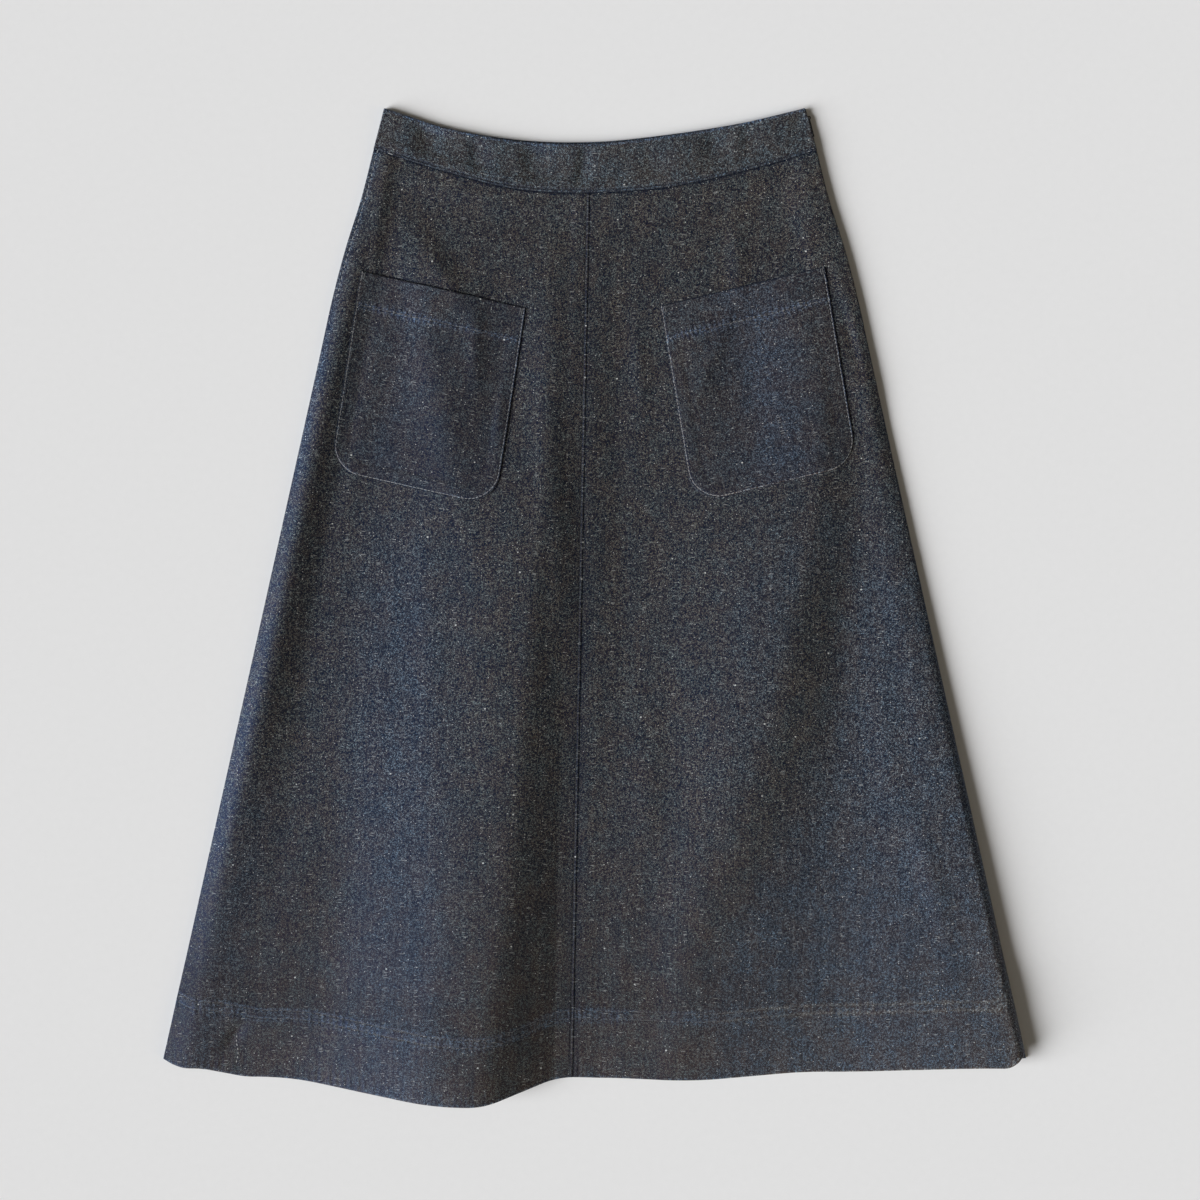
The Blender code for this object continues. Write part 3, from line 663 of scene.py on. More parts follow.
def shell_mesh(name, outer, inner, maps, masks, rounds, inner_step=3, flip=False):
    """A closed wall of cloth between two grids of points, rows by columns.

    rounds gives how far the rim bulges at the first row, last column, last row
    and first column.  The inner face takes every inner_step-th point.
    """
    row_count, column_count = outer.shape[:2]
    few_rows = every(row_count, inner_step)
    few_columns = every(column_count, inner_step)
    ring = ring_of(range(row_count), range(column_count))
    ring_rows, ring_columns = np.array(ring).T
    sides = (ring_rows == 0, ring_columns == column_count - 1, ring_rows == row_count - 1, ring_columns == 0)
    bulge = np.max([np.where(side, size, 0.0) for side, size in zip(sides, rounds)], axis=0)
    upper = outer[ring_rows, ring_columns]
    lower = inner[ring_rows, ring_columns]
    outward = way_out(outer, ring) * bulge[:, None]
    points = [outer.reshape(-1, 3)]
    for k in range(1, RIM_LOOPS + 1):
        angle = math.pi * k / (RIM_LOOPS + 1)
        points.append((upper + lower) / 2 + (upper - lower) / 2 * math.cos(angle) + outward * math.sin(angle))
    few = np.ix_(few_rows, few_columns)
    points.append(inner[few].reshape(-1, 3))

    outer_index = np.arange(row_count * column_count).reshape(row_count, column_count)
    inner_index = np.arange(len(few_rows) * len(few_columns)).reshape(len(few_rows), -1)
    inner_index += outer_index.size + RIM_LOOPS * len(ring)
    ring_index = outer_index[ring_rows, ring_columns]
    origin = np.concatenate([outer_index.ravel()] + [ring_index] * RIM_LOOPS + [outer_index[few].ravel()])
    loops = [ring_index] + [outer_index.size + k * len(ring) + np.arange(len(ring)) for k in range(RIM_LOOPS)]
    faces = quads(outer_index) + quads(inner_index, turned=True)
    for high, low in zip(loops, loops[1:]):
        faces += np.stack((high, np.roll(high, -1), np.roll(low, -1), low), axis=1).tolist()
    faces += border_faces(loops[-1], ring, inner_index, few_rows, few_columns)
    if flip:
        faces = [face[::-1] for face in faces]

    mesh = bpy.data.meshes.new(name)
    mesh.from_pydata(np.concatenate(points).tolist(), [], faces)
    masks = {key: value.ravel()[origin] for key, value in masks.items()}
    finish_mesh(mesh, maps.reshape(-1, 2)[origin], masks)
    return mesh


def finish_mesh(mesh, maps, masks):
    """Give a mesh its cloth map and masks, from values for each vertex, and shade it smooth."""
    corners = np.empty(len(mesh.loops), dtype=np.int32)
    mesh.loops.foreach_get("vertex_index", corners)
    layer = mesh.uv_layers.new(name="cloth")
    layer.uv.foreach_set("vector", maps[corners].astype(np.float32).ravel())
    for key, values in masks.items():
        attribute = mesh.attributes.new(key, "FLOAT", "POINT")
        attribute.data.foreach_set("value", values.astype(np.float32))
    mesh.shade_smooth()
    mesh.update()


def wear_and_light_masks(wear_and_highlight, painted_shade):
    """A cloth's masks: where it is paler from wear and painted highlight, and where it is darkened by painted
    shade.
    """
    return {"wear_and_highlight": np.clip(wear_and_highlight, 0, 1), "painted_shade": np.clip(painted_shade, 0, 1)}


def add_piece(name, mesh, material, nodes=()):
    """Show a mesh as a piece that rides on the skirt and may stand for solids."""
    piece = bpy.data.objects.new(name, mesh)
    bpy.context.scene.collection.objects.link(piece)
    mesh.materials.clear()
    mesh.materials.append(material)
    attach(piece, BODY)
    if nodes:
        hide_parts(*nodes)
    return piece


def add_denim(mesh, slot, node):
    """Show a shell in the denim of its slot, in place of its solid."""
    return add_piece(mesh.name, mesh, kept(denim, *DENIMS[slot]), nodes=[node])


# ---------------------------------------------------------------- materials


def feed(tree, node, inputs):
    """Set or link the inputs of a node."""
    for key, value in inputs.items():
        if isinstance(value, bpy.types.NodeSocket):
            tree.links.new(value, node.inputs[key])
        else:
            node.inputs[key].default_value = value


def add_node(tree, kind, inputs=None, **settings):
    """Add a node, set its fields, and set or link its inputs."""
    node = tree.nodes.new(kind)
    for key, value in settings.items():
        setattr(node, key, value)
    feed(tree, node, inputs or {})
    return node


def maths(tree, operation, a, b=0.0, c=0.0):
    """Output of a Math node."""
    return add_node(tree, "ShaderNodeMath", {0: a, 1: b, 2: c}, operation=operation).outputs[0]


def stretched(tree, vector, scale):
    """A vector times a scale for each axis."""
    node = add_node(tree, "ShaderNodeVectorMath", {0: vector, 1: scale}, operation="MULTIPLY")
    return node.outputs[0]


def noise(tree, vector, scale, detail=2.0, roughness=0.5, output="Fac"):
    """Noise about 0.5, in cells for each metre of a vector's axes."""
    node = add_node(tree, "ShaderNodeTexNoise", {
        "Vector": stretched(tree, vector, scale), "Scale": 1.0, "Detail": detail, "Roughness": roughness})
    return node.outputs[output]


def stepped(tree, value, low, high, start=0.0, end=1.0):
    """Map a value from one range to another, clamped and eased."""
    return add_node(tree, "ShaderNodeMapRange", {
        "Value": value, "From Min": low, "From Max": high, "To Min": start, "To Max": end},
        interpolation_type="SMOOTHSTEP").outputs["Result"]


def colour_mix(tree, factor, a, b, blend="MIX"):
    """Output of a colour Mix node."""
    a, b = (value if isinstance(value, bpy.types.NodeSocket) else (*value[:3], 1.0) for value in (a, b))
    node = add_node(tree, "ShaderNodeMix", {0: factor, 6: a, 7: b}, data_type="RGBA", blend_type=blend)
    return node.outputs[2]


def shaded(tree, colour, shade):
    """A colour times a shade."""
    grey = add_node(tree, "ShaderNodeCombineColor", {0: shade, 1: shade, 2: shade}).outputs[0]
    return colour_mix(tree, 1.0, colour, grey, "MULTIPLY")


def relief(tree, height, distance, strength):
    """Normals of a fine relief."""
    node = add_node(tree, "ShaderNodeBump", {"Height": height, "Distance": distance, "Strength": strength})
    return node.outputs["Normal"]


def cells(tree, vector, scale):
    """Flat cells for each metre of a vector's axes: their distance, and a random value for each."""
    node = add_node(tree, "ShaderNodeTexVoronoi", {
        "Vector": stretched(tree, vector, scale), "Scale": 1.0}, voronoi_dimensions="2D")
    luck = add_node(tree, "ShaderNodeSeparateColor", {0: node.outputs["Color"]}).outputs[0]
    return node.outputs["Distance"], luck


def dots(tree, vector, scale, chance, size):
    """Scattered dots of many sizes: 1 inside them."""
    distance, luck = cells(tree, vector, scale)
    return maths(tree, "LESS_THAN", distance, stepped(tree, luck, chance, 1.0, 0.0, size))


FLOAT = "NodeSocketFloat"
VECTOR = "NodeSocketVector"
WHOLE = "NodeSocketInt"
GEOMETRY = "NodeSocketGeometry"
FINISH = "NodeSocketMaterial"


def new_tree(kind, name, inputs, outputs):
    """A node tree with named sockets, and its input and output nodes."""
    tree = bpy.data.node_groups.new(name, kind)
    for label, (socket_kind, value) in inputs.items():
        socket = tree.interface.new_socket(name=label, in_out="INPUT", socket_type=socket_kind)
        if value is not None:
            socket.default_value = value
    for label, socket_kind in outputs.items():
        tree.interface.new_socket(name=label, in_out="OUTPUT", socket_type=socket_kind)
    return tree, tree.nodes.new("NodeGroupInput"), tree.nodes.new("NodeGroupOutput")


def rounded(tree, place_across):
    """The round of a row of yarns, one yarn for each whole number."""
    return maths(tree, "ABSOLUTE", maths(tree, "SINE", maths(tree, "MULTIPLY", place_across, math.pi)))


def twill_group():
    """Three-and-one twill: where the weft lies on top, and the height of the yarns."""
    tree, given, result = new_tree("ShaderNodeTree", "Twill", {
        "Cloth": (VECTOR, None), "Pitch": (FLOAT, 0.0005)}, {"Weft": FLOAT, "Height": FLOAT})
    wander = noise(tree, given.outputs["Cloth"], (260, 260, 1), output="Color")
    offset = add_node(tree, "ShaderNodeVectorMath", {
        0: wander, 1: (0.0011, 0.0011, 0.0), 2: given.outputs["Cloth"]}, operation="MULTIPLY_ADD")
    yarns = add_node(tree, "ShaderNodeVectorMath", {
        0: offset.outputs[0], "Scale": maths(tree, "DIVIDE", 1.0, given.outputs["Pitch"])}, operation="SCALE")
    parts = add_node(tree, "ShaderNodeSeparateXYZ", {0: yarns.outputs[0]})
    warp = parts.outputs["X"]
    weft = parts.outputs["Y"]
    step = maths(tree, "ADD", maths(tree, "FLOOR", warp), maths(tree, "FLOOR", weft))
    on_top = maths(tree, "LESS_THAN", maths(tree, "FLOORED_MODULO", step, 4.0), 1.0)
    low_weft = maths(tree, "MULTIPLY", rounded(tree, weft), 0.8)
    height = add_node(tree, "ShaderNodeMix", {0: on_top, 2: rounded(tree, warp), 3: low_weft})
    feed(tree, result, {"Weft": on_top, "Height": height.outputs[0]})
    return tree


def yarn_group():
    """Unevenness of the yarns: grain, warp streaks and slow mottling, and pale slubs."""
    tree, given, result = new_tree("ShaderNodeTree", "Uneven yarn", {
        "Cloth": (VECTOR, None), "Grain": (FLOAT, 1.0), "Streaks": (FLOAT, 1.0)}, {
        "Shade": FLOAT, "Fine": FLOAT, "Warmth": FLOAT, "Slub": FLOAT, "Height": FLOAT})
    cloth = given.outputs["Cloth"]
    fine = cells(tree, cloth, (1500, 1400, 1))[1]
    coarse = noise(tree, cloth, (330, 220, 1), 2.0, 0.6)
    streak = noise(tree, cloth, (420, 9, 1), 2.0, 0.6)
    bar = noise(tree, cloth, (14, 380, 1), 2.0, 0.6)
    mottle = noise(tree, cloth, (42, 26, 1), 3.0, 0.55)
    grain = maths(tree, "ADD", maths(tree, "MULTIPLY_ADD", fine, 5.6, -3.0),
                  maths(tree, "MULTIPLY_ADD", coarse, 0.4, -0.2))
    grain = maths(tree, "MULTIPLY", grain, given.outputs["Grain"])
    lines = maths(tree, "ADD", maths(tree, "MULTIPLY_ADD", streak, 1.2, -0.60),
                  maths(tree, "MULTIPLY_ADD", bar, 0.35, -0.175))
    lines = maths(tree, "MULTIPLY", lines, given.outputs["Streaks"])
    slow = maths(tree, "MULTIPLY_ADD", mottle, 0.6, -0.30)
    total = maths(tree, "ADD", maths(tree, "ADD", grain, lines), slow)

    nep = dots(tree, cloth, (270, 310, 1), 0.80, 0.105)
    short = maths(tree, "MULTIPLY", dots(tree, cloth, (75, 520, 1), 0.75, 0.15), 0.35)
    knot = dots(tree, cloth, (38, 44, 1), 0.70, 0.030)
    slub = maths(tree, "MAXIMUM", maths(tree, "MAXIMUM", nep, short), knot)
    feed(tree, result, {
        "Shade": maths(tree, "POWER", 2.0, total),
        "Fine": fine,
        "Warmth": stepped(tree, noise(tree, cloth, (55, 38, 1), 3.0, 0.6), 0.35, 0.65),
        "Slub": slub,
        "Height": maths(tree, "ADD", coarse, maths(tree, "MULTIPLY", slub, 0.5)),
    })
    return tree


def kept(make, name, *args):
    """The material of that name, made on first use."""
    return bpy.data.materials.get(name) or make(name, *args)


def principled(name):
    """A new material with its tree and its shader."""
    material = bpy.data.materials.new(name)
    material.use_nodes = True
    return material, material.node_tree, material.node_tree.nodes["Principled BSDF"]


def object_place(tree):
    """Place on a piece, in the part's frame."""
    return add_node(tree, "ShaderNodeTexCoord").outputs["Object"]


def group_node(tree, name, make, inputs):
    """Outputs of a shader group, which is made on first use."""
    node = add_node(tree, "ShaderNodeGroup", node_tree=bpy.data.node_groups.get(name) or make())
    feed(tree, node, inputs)
    return node.outputs


# Each slot's denim: name, share of the grain, brightness and hue.
DENIMS = {
    "denim": ("Denim", 1.0, 1.0, (1.0, 1.0, 1.0)),
    "denim_band": ("Denim band", 0.85, 1.47, (0.90, 1.02, 1.24)),
    "denim_pocket": ("Denim pocket", 0.84, 1.06, (0.98, 1.01, 1.12)),
}
WARM_PATCH = (1.07, 0.99, 0.92)
COOL_PATCH = (0.93, 1.01, 1.09)
BROWN_YARN = (1.30, 1.00, 0.55)
BLUE_YARN = (0.62, 1.00, 1.90)
# Untinted, and a blue painted sheen laid on the cloth where the wear and highlight mask is faint.
UNTINTED = (1.0, 1.0, 1.0)
PAINTED_BLUE_SHEEN = (0.88, 1.04, 1.45)
DENIM_RELIEF = 0.00012    # depth of the yarns
THREAD_RELIEF = 0.00008   # depth of a thread's twist
TAPE_RELIEF = 0.0001      # depth of the tape's ribs


def denim_shade(tree, along, tone, yarn_shade, wear_and_highlight, painted_shade):
    """Brightness of the cloth: painted light that darkens it below the waist and brightens it towards the
    hem, wear and painted highlight that make it paler, and painted shade that makes it darker.
    """
    # Painted light: darker from the waist down to about 0.2 m, then brighter towards the hem.
    upper = stepped(tree, along, 0.02, 0.20, 0.95 * tone, 0.84 * tone)
    low = maths(tree, "POWER", maths(tree, "MAXIMUM", maths(tree, "DIVIDE", along, 0.83), 0.0), 4.0)
    painted_hem_light = maths(tree, "MULTIPLY_ADD", low, 0.60 * tone, upper)
    # Wear and painted highlight brighten the cloth, very strongly where the mask is near one; painted shade
    # darkens it.
    bared_and_lit = maths(tree, "MULTIPLY_ADD", maths(tree, "POWER", wear_and_highlight, 3.0), 9.0, 1.0)
    shade = maths(tree, "MULTIPLY", yarn_shade, painted_hem_light)
    shade = maths(tree, "MULTIPLY", shade, maths(tree, "MULTIPLY_ADD", wear_and_highlight, 2.2, bared_and_lit))
    return maths(tree, "MULTIPLY", shade, maths(tree, "MULTIPLY_ADD", painted_shade, -0.75, 1.0))


def denim(name, grain, tone, hue):
    """Denim that follows the cloth's own map, paler where its masks paint wear and highlight, and darker
    where they paint shade.
    """
    look = bpy.context.scene.skirt_denim
    material, tree, shader = principled(name)
    cloth = add_node(tree, "ShaderNodeUVMap", uv_map="cloth").outputs["UV"]
    along = add_node(tree, "ShaderNodeSeparateXYZ", {0: cloth}).outputs["Y"]
    wear_and_highlight, painted_shade = (add_node(tree, "ShaderNodeAttribute", attribute_name=mask).outputs["Fac"]
                   for mask in ("wear_and_highlight", "painted_shade"))
    twill = group_node(tree, "Twill", twill_group, {"Cloth": cloth, "Pitch": look.pitch})
    yarn = group_node(tree, "Uneven yarn", yarn_group, {
        "Cloth": cloth, "Grain": stepped(tree, along, 0.52, 0.80, grain, 0.62 * grain)})

    woven = colour_mix(tree, twill["Weft"], look.warp, look.weft)
    colour = shaded(tree, woven, denim_shade(tree, along, tone, yarn["Shade"], wear_and_highlight, painted_shade))
    # Painted sheen: a blue tint where the wear and highlight mask is faint.
    blue_sheen_share = maths(tree, "SUBTRACT", stepped(tree, wear_and_highlight, 0.0, 0.08),
                    stepped(tree, wear_and_highlight, 0.12, 0.20, 0.0, 0.5))
    for tint in (colour_mix(tree, yarn["Warmth"], WARM_PATCH, COOL_PATCH),
                 colour_mix(tree, yarn["Fine"], BROWN_YARN, BLUE_YARN),
                 colour_mix(tree, blue_sheen_share, UNTINTED, PAINTED_BLUE_SHEEN),
                 hue):
        colour = colour_mix(tree, 1.0, colour, tint, "MULTIPLY")
    bare_specks = maths(tree, "MULTIPLY", dots(tree, cloth, (430, 430, 1), 0.35, 0.24),
                        stepped(tree, wear_and_highlight, 0.11, 0.21, 0, 0.45))
    pale = maths(tree, "MAXIMUM", yarn["Slub"], bare_specks)
    rough = maths(tree, "MULTIPLY_ADD", yarn["Fine"], 0.24, look.roughness - 0.12)
    # Rougher where shade is painted.
    rough = maths(tree, "MINIMUM", maths(tree, "MULTIPLY_ADD", painted_shade, 0.5, rough), 1.0)
    yarn_height = maths(tree, "MULTIPLY_ADD", twill["Height"], 0.4, yarn["Height"])
    feed(tree, shader, {
        "Base Color": colour_mix(tree, pale, colour, look.slub),
        "Roughness": rough,
        "Normal": relief(tree, yarn_height, DENIM_RELIEF, 0.5),
        "Specular IOR Level": 0.46,
        "Specular Tint": (0.0, 0.28, 1.0, 1.0),
        "Sheen Weight": 0.10,
        "Sheen Roughness": 0.5,
        "Sheen Tint": (0.70, 0.80, 1.0, 1.0),
    })
    return material


def thread_material(name, colour):
    """Twisted sewing thread."""
    material, tree, shader = principled(name)
    place_at = object_place(tree)
    shade = stepped(tree, noise(tree, place_at, (900, 900, 900)), 0.3, 0.7, 0.75, 1.2)
    twist = add_node(tree, "ShaderNodeTexWave", {
        "Vector": place_at, "Scale": 420.0, "Distortion": 1.5}, bands_direction="DIAGONAL")
    feed(tree, shader, {
        "Base Color": shaded(tree, colour, shade),
        "Normal": relief(tree, twist.outputs["Fac"], THREAD_RELIEF, 0.6),
        "Roughness": 0.62,
        "Sheen Weight": 0.15,
    })
    return material


def tape_material(name):
    """Tightly woven zip tape."""
    material, tree, shader = principled(name)
    ribs = add_node(tree, "ShaderNodeTexWave", {
        "Vector": object_place(tree), "Scale": 300.0, "Distortion": 0.6}, bands_direction="Y")
    shade = stepped(tree, ribs.outputs["Fac"], 0.0, 1.0, 0.7, 1.35)
    feed(tree, shader, {
        "Base Color": shaded(tree, bpy.context.scene.skirt_zip.tape, shade),
        "Normal": relief(tree, ribs.outputs["Fac"], TAPE_RELIEF, 0.7),
        "Roughness": 0.7,
    })
    return material


def metal_material(name):
    """Enamelled metal, rubbed brighter in small patches."""
    material, tree, shader = principled(name)
    place_at = object_place(tree)
    rubbed = stepped(tree, noise(tree, place_at, (500, 500, 500), 4.0, 0.6), 0.52, 0.70)
    metal = bpy.context.scene.skirt_zip.metal
    bright = [min(1.0, channel * 4.0) for channel in metal]
    rough = stepped(tree, noise(tree, place_at, (900, 900, 900), 3.0), 0.3, 0.7, 0.28, 0.50)
    feed(tree, shader, {
        "Base Color": colour_mix(tree, rubbed, metal, bright),
        "Roughness": rough,
        "Metallic": 0.9,
    })
    return material


def floor_material(name):
    """Matt pale floor with the faintest grain."""
    material, tree, shader = principled(name)
    grain = stepped(tree, noise(tree, object_place(tree), (160, 160, 160), 3.0), 0.3, 0.7, 0.995, 1.005)
    feed(tree, shader, {
        "Base Color": shaded(tree, bpy.context.scene.skirt_stage.floor, grain),
        "Roughness": 1.0,
        "Specular IOR Level": 0.0,
    })
    return material


# ---------------------------------------------------------------- front panels


def spaced(start, end, step):
    """Even places from start to end, both in."""
    count = max(1, round(abs(end - start) / step))
    return np.linspace(start, end, count + 1)


LINES_ABOUT = (-0.0014, -0.0009, -0.00045, 0.0, 0.00045, 0.0009, 0.0014)


def lines_about(rows, near=LINES_ABOUT):
    """Places about each row of stitches, close enough to hold its dent."""
    return np.concatenate([row + np.array(near) for row in rows])


def tidy_insets(*parts):
    """Places of rows above a hem's fold, each once, from the highest down."""
    return np.unique(np.round(np.concatenate(parts), 5))[::-1]


PANEL_WAIST = (-0.0020, -0.0008, 0.0004, 0.0012, 0.0022, 0.0034, 0.0050, 0.0070, 0.0090, 0.0110, 0.0130,
               0.0155, 0.0185, 0.0220, 0.0260)
PANEL_EDGE = (0.0004, 0.0010, 0.0018, 0.0027, 0.0032, 0.0036, 0.0040, 0.0046, 0.0060, 0.0075, 0.0090, 0.0105,
              0.0120, 0.0140, 0.0165)
PANEL_CENTRE = (0.0165, 0.0150, 0.0135, 0.0122, 0.0110, 0.0098, 0.0085, 0.0070, 0.0055, 0.0044, 0.0037,
                0.0032, 0.0027, 0.0022, 0.0017, 0.0012, 0.0008, 0.0004, 0.00004)
PANEL_MIDDLE_COLUMNS = 225
PANEL_MIDDLE_ROWS = 140
PANEL_HEM_TOP = 0.068
PANEL_HEM = (0.0605, 0.0595, 0.0585, 0.0575, 0.0045, 0.0030, 0.0018, 0.0008)
HEM_ROUNDS = 14           # steps that bring a point to its distance from the hem


def panel_grid(half):
    """Across and down of each point of a front panel, rows by columns."""
    edge = np.array(PANEL_EDGE)
    centre = np.array(PANEL_CENTRE)
    shares = np.linspace(0, 1, PANEL_MIDDLE_COLUMNS + 2)[1:-1]

    def across_at(down):
        """Across of every column, at one distance down for each column."""
        low = half_width(down)
        high = half.side * centre_x(down)
        first = low[:len(edge)] - edge
        middle = slice(len(edge), len(edge) + len(shares))
        inner = mix(low[middle] - edge[-1], high[middle] + centre[0], shares)
        last = high[-len(centre):] + centre
        return np.concatenate((first, inner, last))

    count = len(edge) + len(shares) + len(centre)
    waist = np.full(count, CENTRE_START)
    hem = np.full(count, LENGTH)
    for _ in range(HEM_ROUNDS):
        waist = seam_down(half.side * across_at(waist), waist)
        hem = hem_down(half, *locate(half, across_at(hem), hem))
    rows = [waist + inset for inset in PANEL_WAIST]
    for share in np.linspace(0, 1, PANEL_MIDDLE_ROWS + 2)[1:-1]:
        rows.append(mix(waist + PANEL_WAIST[-1], hem - PANEL_HEM_TOP, share))
    insets = tidy_insets(spaced(PANEL_HEM_TOP, 0.0060, 0.0020), lines_about(HEM_ROWS), PANEL_HEM)
    rows += [hem - inset for inset in insets]
    down = np.array(rows)
    return np.array([across_at(row) for row in down]), down


def front_wear_and_painted_light(half, x, down, reach):
    """Masks of a front: wear and painted highlight on its hem, puckers and folds and in soft patches; painted
    shade beside its seams, in pucker valleys and on the lee of its flute.
    """
    seed = bpy.context.scene.skirt_cloth.seed
    pucker = hem_pucker(x, reach.hem, seed)
    rows = sum(bump(reach.hem, row, 0.0024) for row in HEM_ROWS)
    specks = 0.75 + 0.45 * soft_noise(x, reach.hem, 0.0060, 0.0040, seed + 14)
    # Hem rows and the hem's fold paler from wear; pucker crests paler from wear and painted highlight.
    wear_and_highlight = 0.12 * rows * specks + 0.11 * np.maximum(pucker, 0) + 0.12 * bump(reach.hem, 0.0, 0.0016)
    # Painted shade under the waist seam and in the pucker valleys.
    painted_shade = bump(reach.waist, 0.0003, 0.0018) + 0.25 * np.maximum(-pucker, 0)
    if half is LEFT:
        # Painted highlight along the left edge and in soft patches; painted shade near the edge low down, and
        # along the centre seam and its stitching.
        wear_and_highlight += 0.08 * bump(reach.edge, 0.003, 0.004) * (1 - ramp(down, 0.25, 0.4))
        wear_and_highlight += 0.05 * bump(reach.edge, 0.034, 0.016) * ramp(down, 0.50, 0.62)
        wear_and_highlight += 0.055 * bump(x, -0.165, 0.055) * ramp(down, 0.26, 0.44)
        painted_shade += 0.25 * bump(reach.edge, 0.004, 0.014) * ramp(down, 0.60, 0.75)
        painted_shade += 0.7 * bump(reach.centre, 0.0, 0.0006) + 0.45 * bump(reach.centre, CENTRE_STITCH, 0.0005)
    else:
        # Painted light in soft patches on the right; the lee of the flute loses it and takes painted shade;
        # painted highlight along the right edge low down; painted shade along the centre seam.
        wear_and_highlight += 0.04 * ramp(x, 0.08, 0.17) * ramp(down, 0.20, 0.42)
        wear_and_highlight += 0.04 * ramp(x, 0.05, 0.14) * ramp(down, 0.58, 0.78)
        wear_and_highlight += 0.015 * ramp(down, 0.30, 0.45)
        painted_lee_shade = bump(x - np.interp(down, LEE_DOWN, LEE_X), 0.0, 0.024) * ramp(down, 0.36, 0.43)
        wear_and_highlight *= 1 - 0.85 * painted_lee_shade
        wear_and_highlight += 0.07 * (1 - ramp(reach.edge, 0.004, 0.032)) * ramp(down, 0.50, 0.70)
        painted_shade += 0.8 * bump(reach.centre, 0.0, 0.0008) + 0.03 * painted_lee_shade
    # Painted shade in a soft band beside the centre seam.
    painted_shade += 0.22 * bump(reach.centre, 0.0, 0.0075) * ramp(down, 0.30, 0.42)
    return wear_and_light_masks(wear_and_highlight, painted_shade)


def front_panel(half):
    """One half of the front, with its flutes, turned hem and seams."""
    cloth = bpy.context.scene.skirt_cloth
    across, down = panel_grid(half)
    outer = front_point(half, across, down)
    reach = reach_of(half, across, down)
    under_band = ramp(-reach.waist, -0.0010, 0.0012)
    outer[..., 2] -= 0.0005 * under_band
    at_hem = 1 - ramp(reach.hem, HEM_DEPTH + 0.002, HEM_DEPTH + 0.005)
    wall = cloth.layer * (1 + at_hem)
    inner = outer - grid_normals(outer) * wall[..., None]
    floor = mix(BACK_TOP, ZIP_HIGH + 0.0002, zip_share(half, down))
    at_edge = 1 - ramp(reach.edge, 0.0010, 0.0045)
    inner[..., 2] = mix(inner[..., 2], floor, at_edge)
    x = half.side * across
    maps = np.stack((x - centre_x(down), down), axis=-1)
    mesh = shell_mesh(f"front_{half.name}_cloth", outer, inner, maps, front_wear_and_painted_light(half, x, down, reach),
                      rounds=(0.0, 0.0, 0.0008, 0.0006), flip=half is RIGHT)
    return add_denim(mesh, "denim", f"front_{half.name}")


# ---------------------------------------------------------------- back panel

BACK_WAIST = (SEAM_GAP, 0.0010, 0.0020, 0.0035, 0.0060, 0.0100, 0.0115)
BACK_COLUMNS = 161
BACK_MIDDLE_ROWS = 90
BACK_HEM_TOP = 0.064
BACK_HEM_ROWS = (0.0025, 0.0014, 0.0006)

# Where each piece lies in the cloth's pattern, along U.
BAND_CUT = 3.0
BACK_BAND_CUT = 5.0
POCKET_CUT = 7.0
BACK_CUT = 9.0


def back_hem(share):
    """The back's hem: one even curve from side to side."""
    return mix(BACK_HEM, LEFT_FOLDS[0].hem, share ** 2)


def back_panel():
    """The back lies flat, with its hem turned up inside and two rows of stitches."""
    cloth = bpy.context.scene.skirt_cloth
    shares = np.sin(np.linspace(-1, 1, BACK_COLUMNS) * math.pi / 2)
    waist = band_line("seam", shares)
    hem = back_hem(shares)
    rows = [waist + inset for inset in BACK_WAIST]
    for share in np.linspace(0, 1, BACK_MIDDLE_ROWS + 2)[1:-1]:
        rows.append(mix(waist + BACK_WAIST[-1], hem - BACK_HEM_TOP, share))
    insets = tidy_insets(spaced(BACK_HEM_TOP, 0.004, 0.003), lines_about(BACK_ROWS), BACK_HEM_ROWS)
    rows += [hem - inset for inset in insets]
    down = np.array(rows)
    x = shares * (half_width(down) - SEAM_GAP)
    from_hem = hem - down
    from_edge = half_width(down) - np.abs(x)
    from_waist = down - waist
    under = 0.0005 * roll_off(from_hem, 0.0016) + 0.0004 * roll_off(from_edge, 0.0012)
    under += 0.0005 * roll_off(from_waist, 0.0020)
    for row in BACK_ROWS:
        under += BACK_GROOVE * bump(from_hem, row, GROOVE_WIDTH)
    doubled = 1 - ramp(from_hem, HEM_DEPTH, HEM_DEPTH + 0.002)
    top = cloth.layer * (1 + doubled) + 0.00015 * (1 + uneven_lie(x, down, cloth.seed + 40))
    top = np.minimum(top, BACK_TOP - HAIR + 0.0012 * doubled)
    # Paler at the hem rows and along the edges; painted shade along the waist seam.
    rows_worn = sum(bump(from_hem, row, 0.0030) for row in BACK_ROWS)
    wear_and_highlight = 0.15 * rows_worn + 0.15 * bump(from_edge, 0.0, 0.0015)
    masks = wear_and_light_masks(wear_and_highlight, 0.8 * bump(from_waist, 0.0, 0.0012))
    mesh = shell_mesh("back_cloth", place(x, down, top), place(x, down, under),
                      np.stack((x + BACK_CUT, down), axis=-1), masks,
                      rounds=(0.0, 0.0003, 0.0006, 0.0003), inner_step=1)
    return add_denim(mesh, "denim", "back")


# ---------------------------------------------------------------- waistband

BAND_UPPER = (0.0003, 0.0008, 0.0014, 0.0022, 0.0032, 0.0045)
BAND_LOWER = (0.0045, 0.0036, 0.0030, 0.0026, 0.0022, 0.0018, 0.0014, 0.0010, 0.0006, 0.0002)
BAND_MIDDLE_ROWS = 24
BAND_END = 0.03           # share at each end that has closer columns
BAND_MIDDLE = 0.96        # share where the even columns end
PULL_ROOM = 0.0010        # the corner above the zip is cut back by this for the turned pull


def band_top(share, peek):
    """Top of a waistband, down; peek raises its middle."""
    return band_line("top", share) - peek * (1 - share ** 2) ** 2


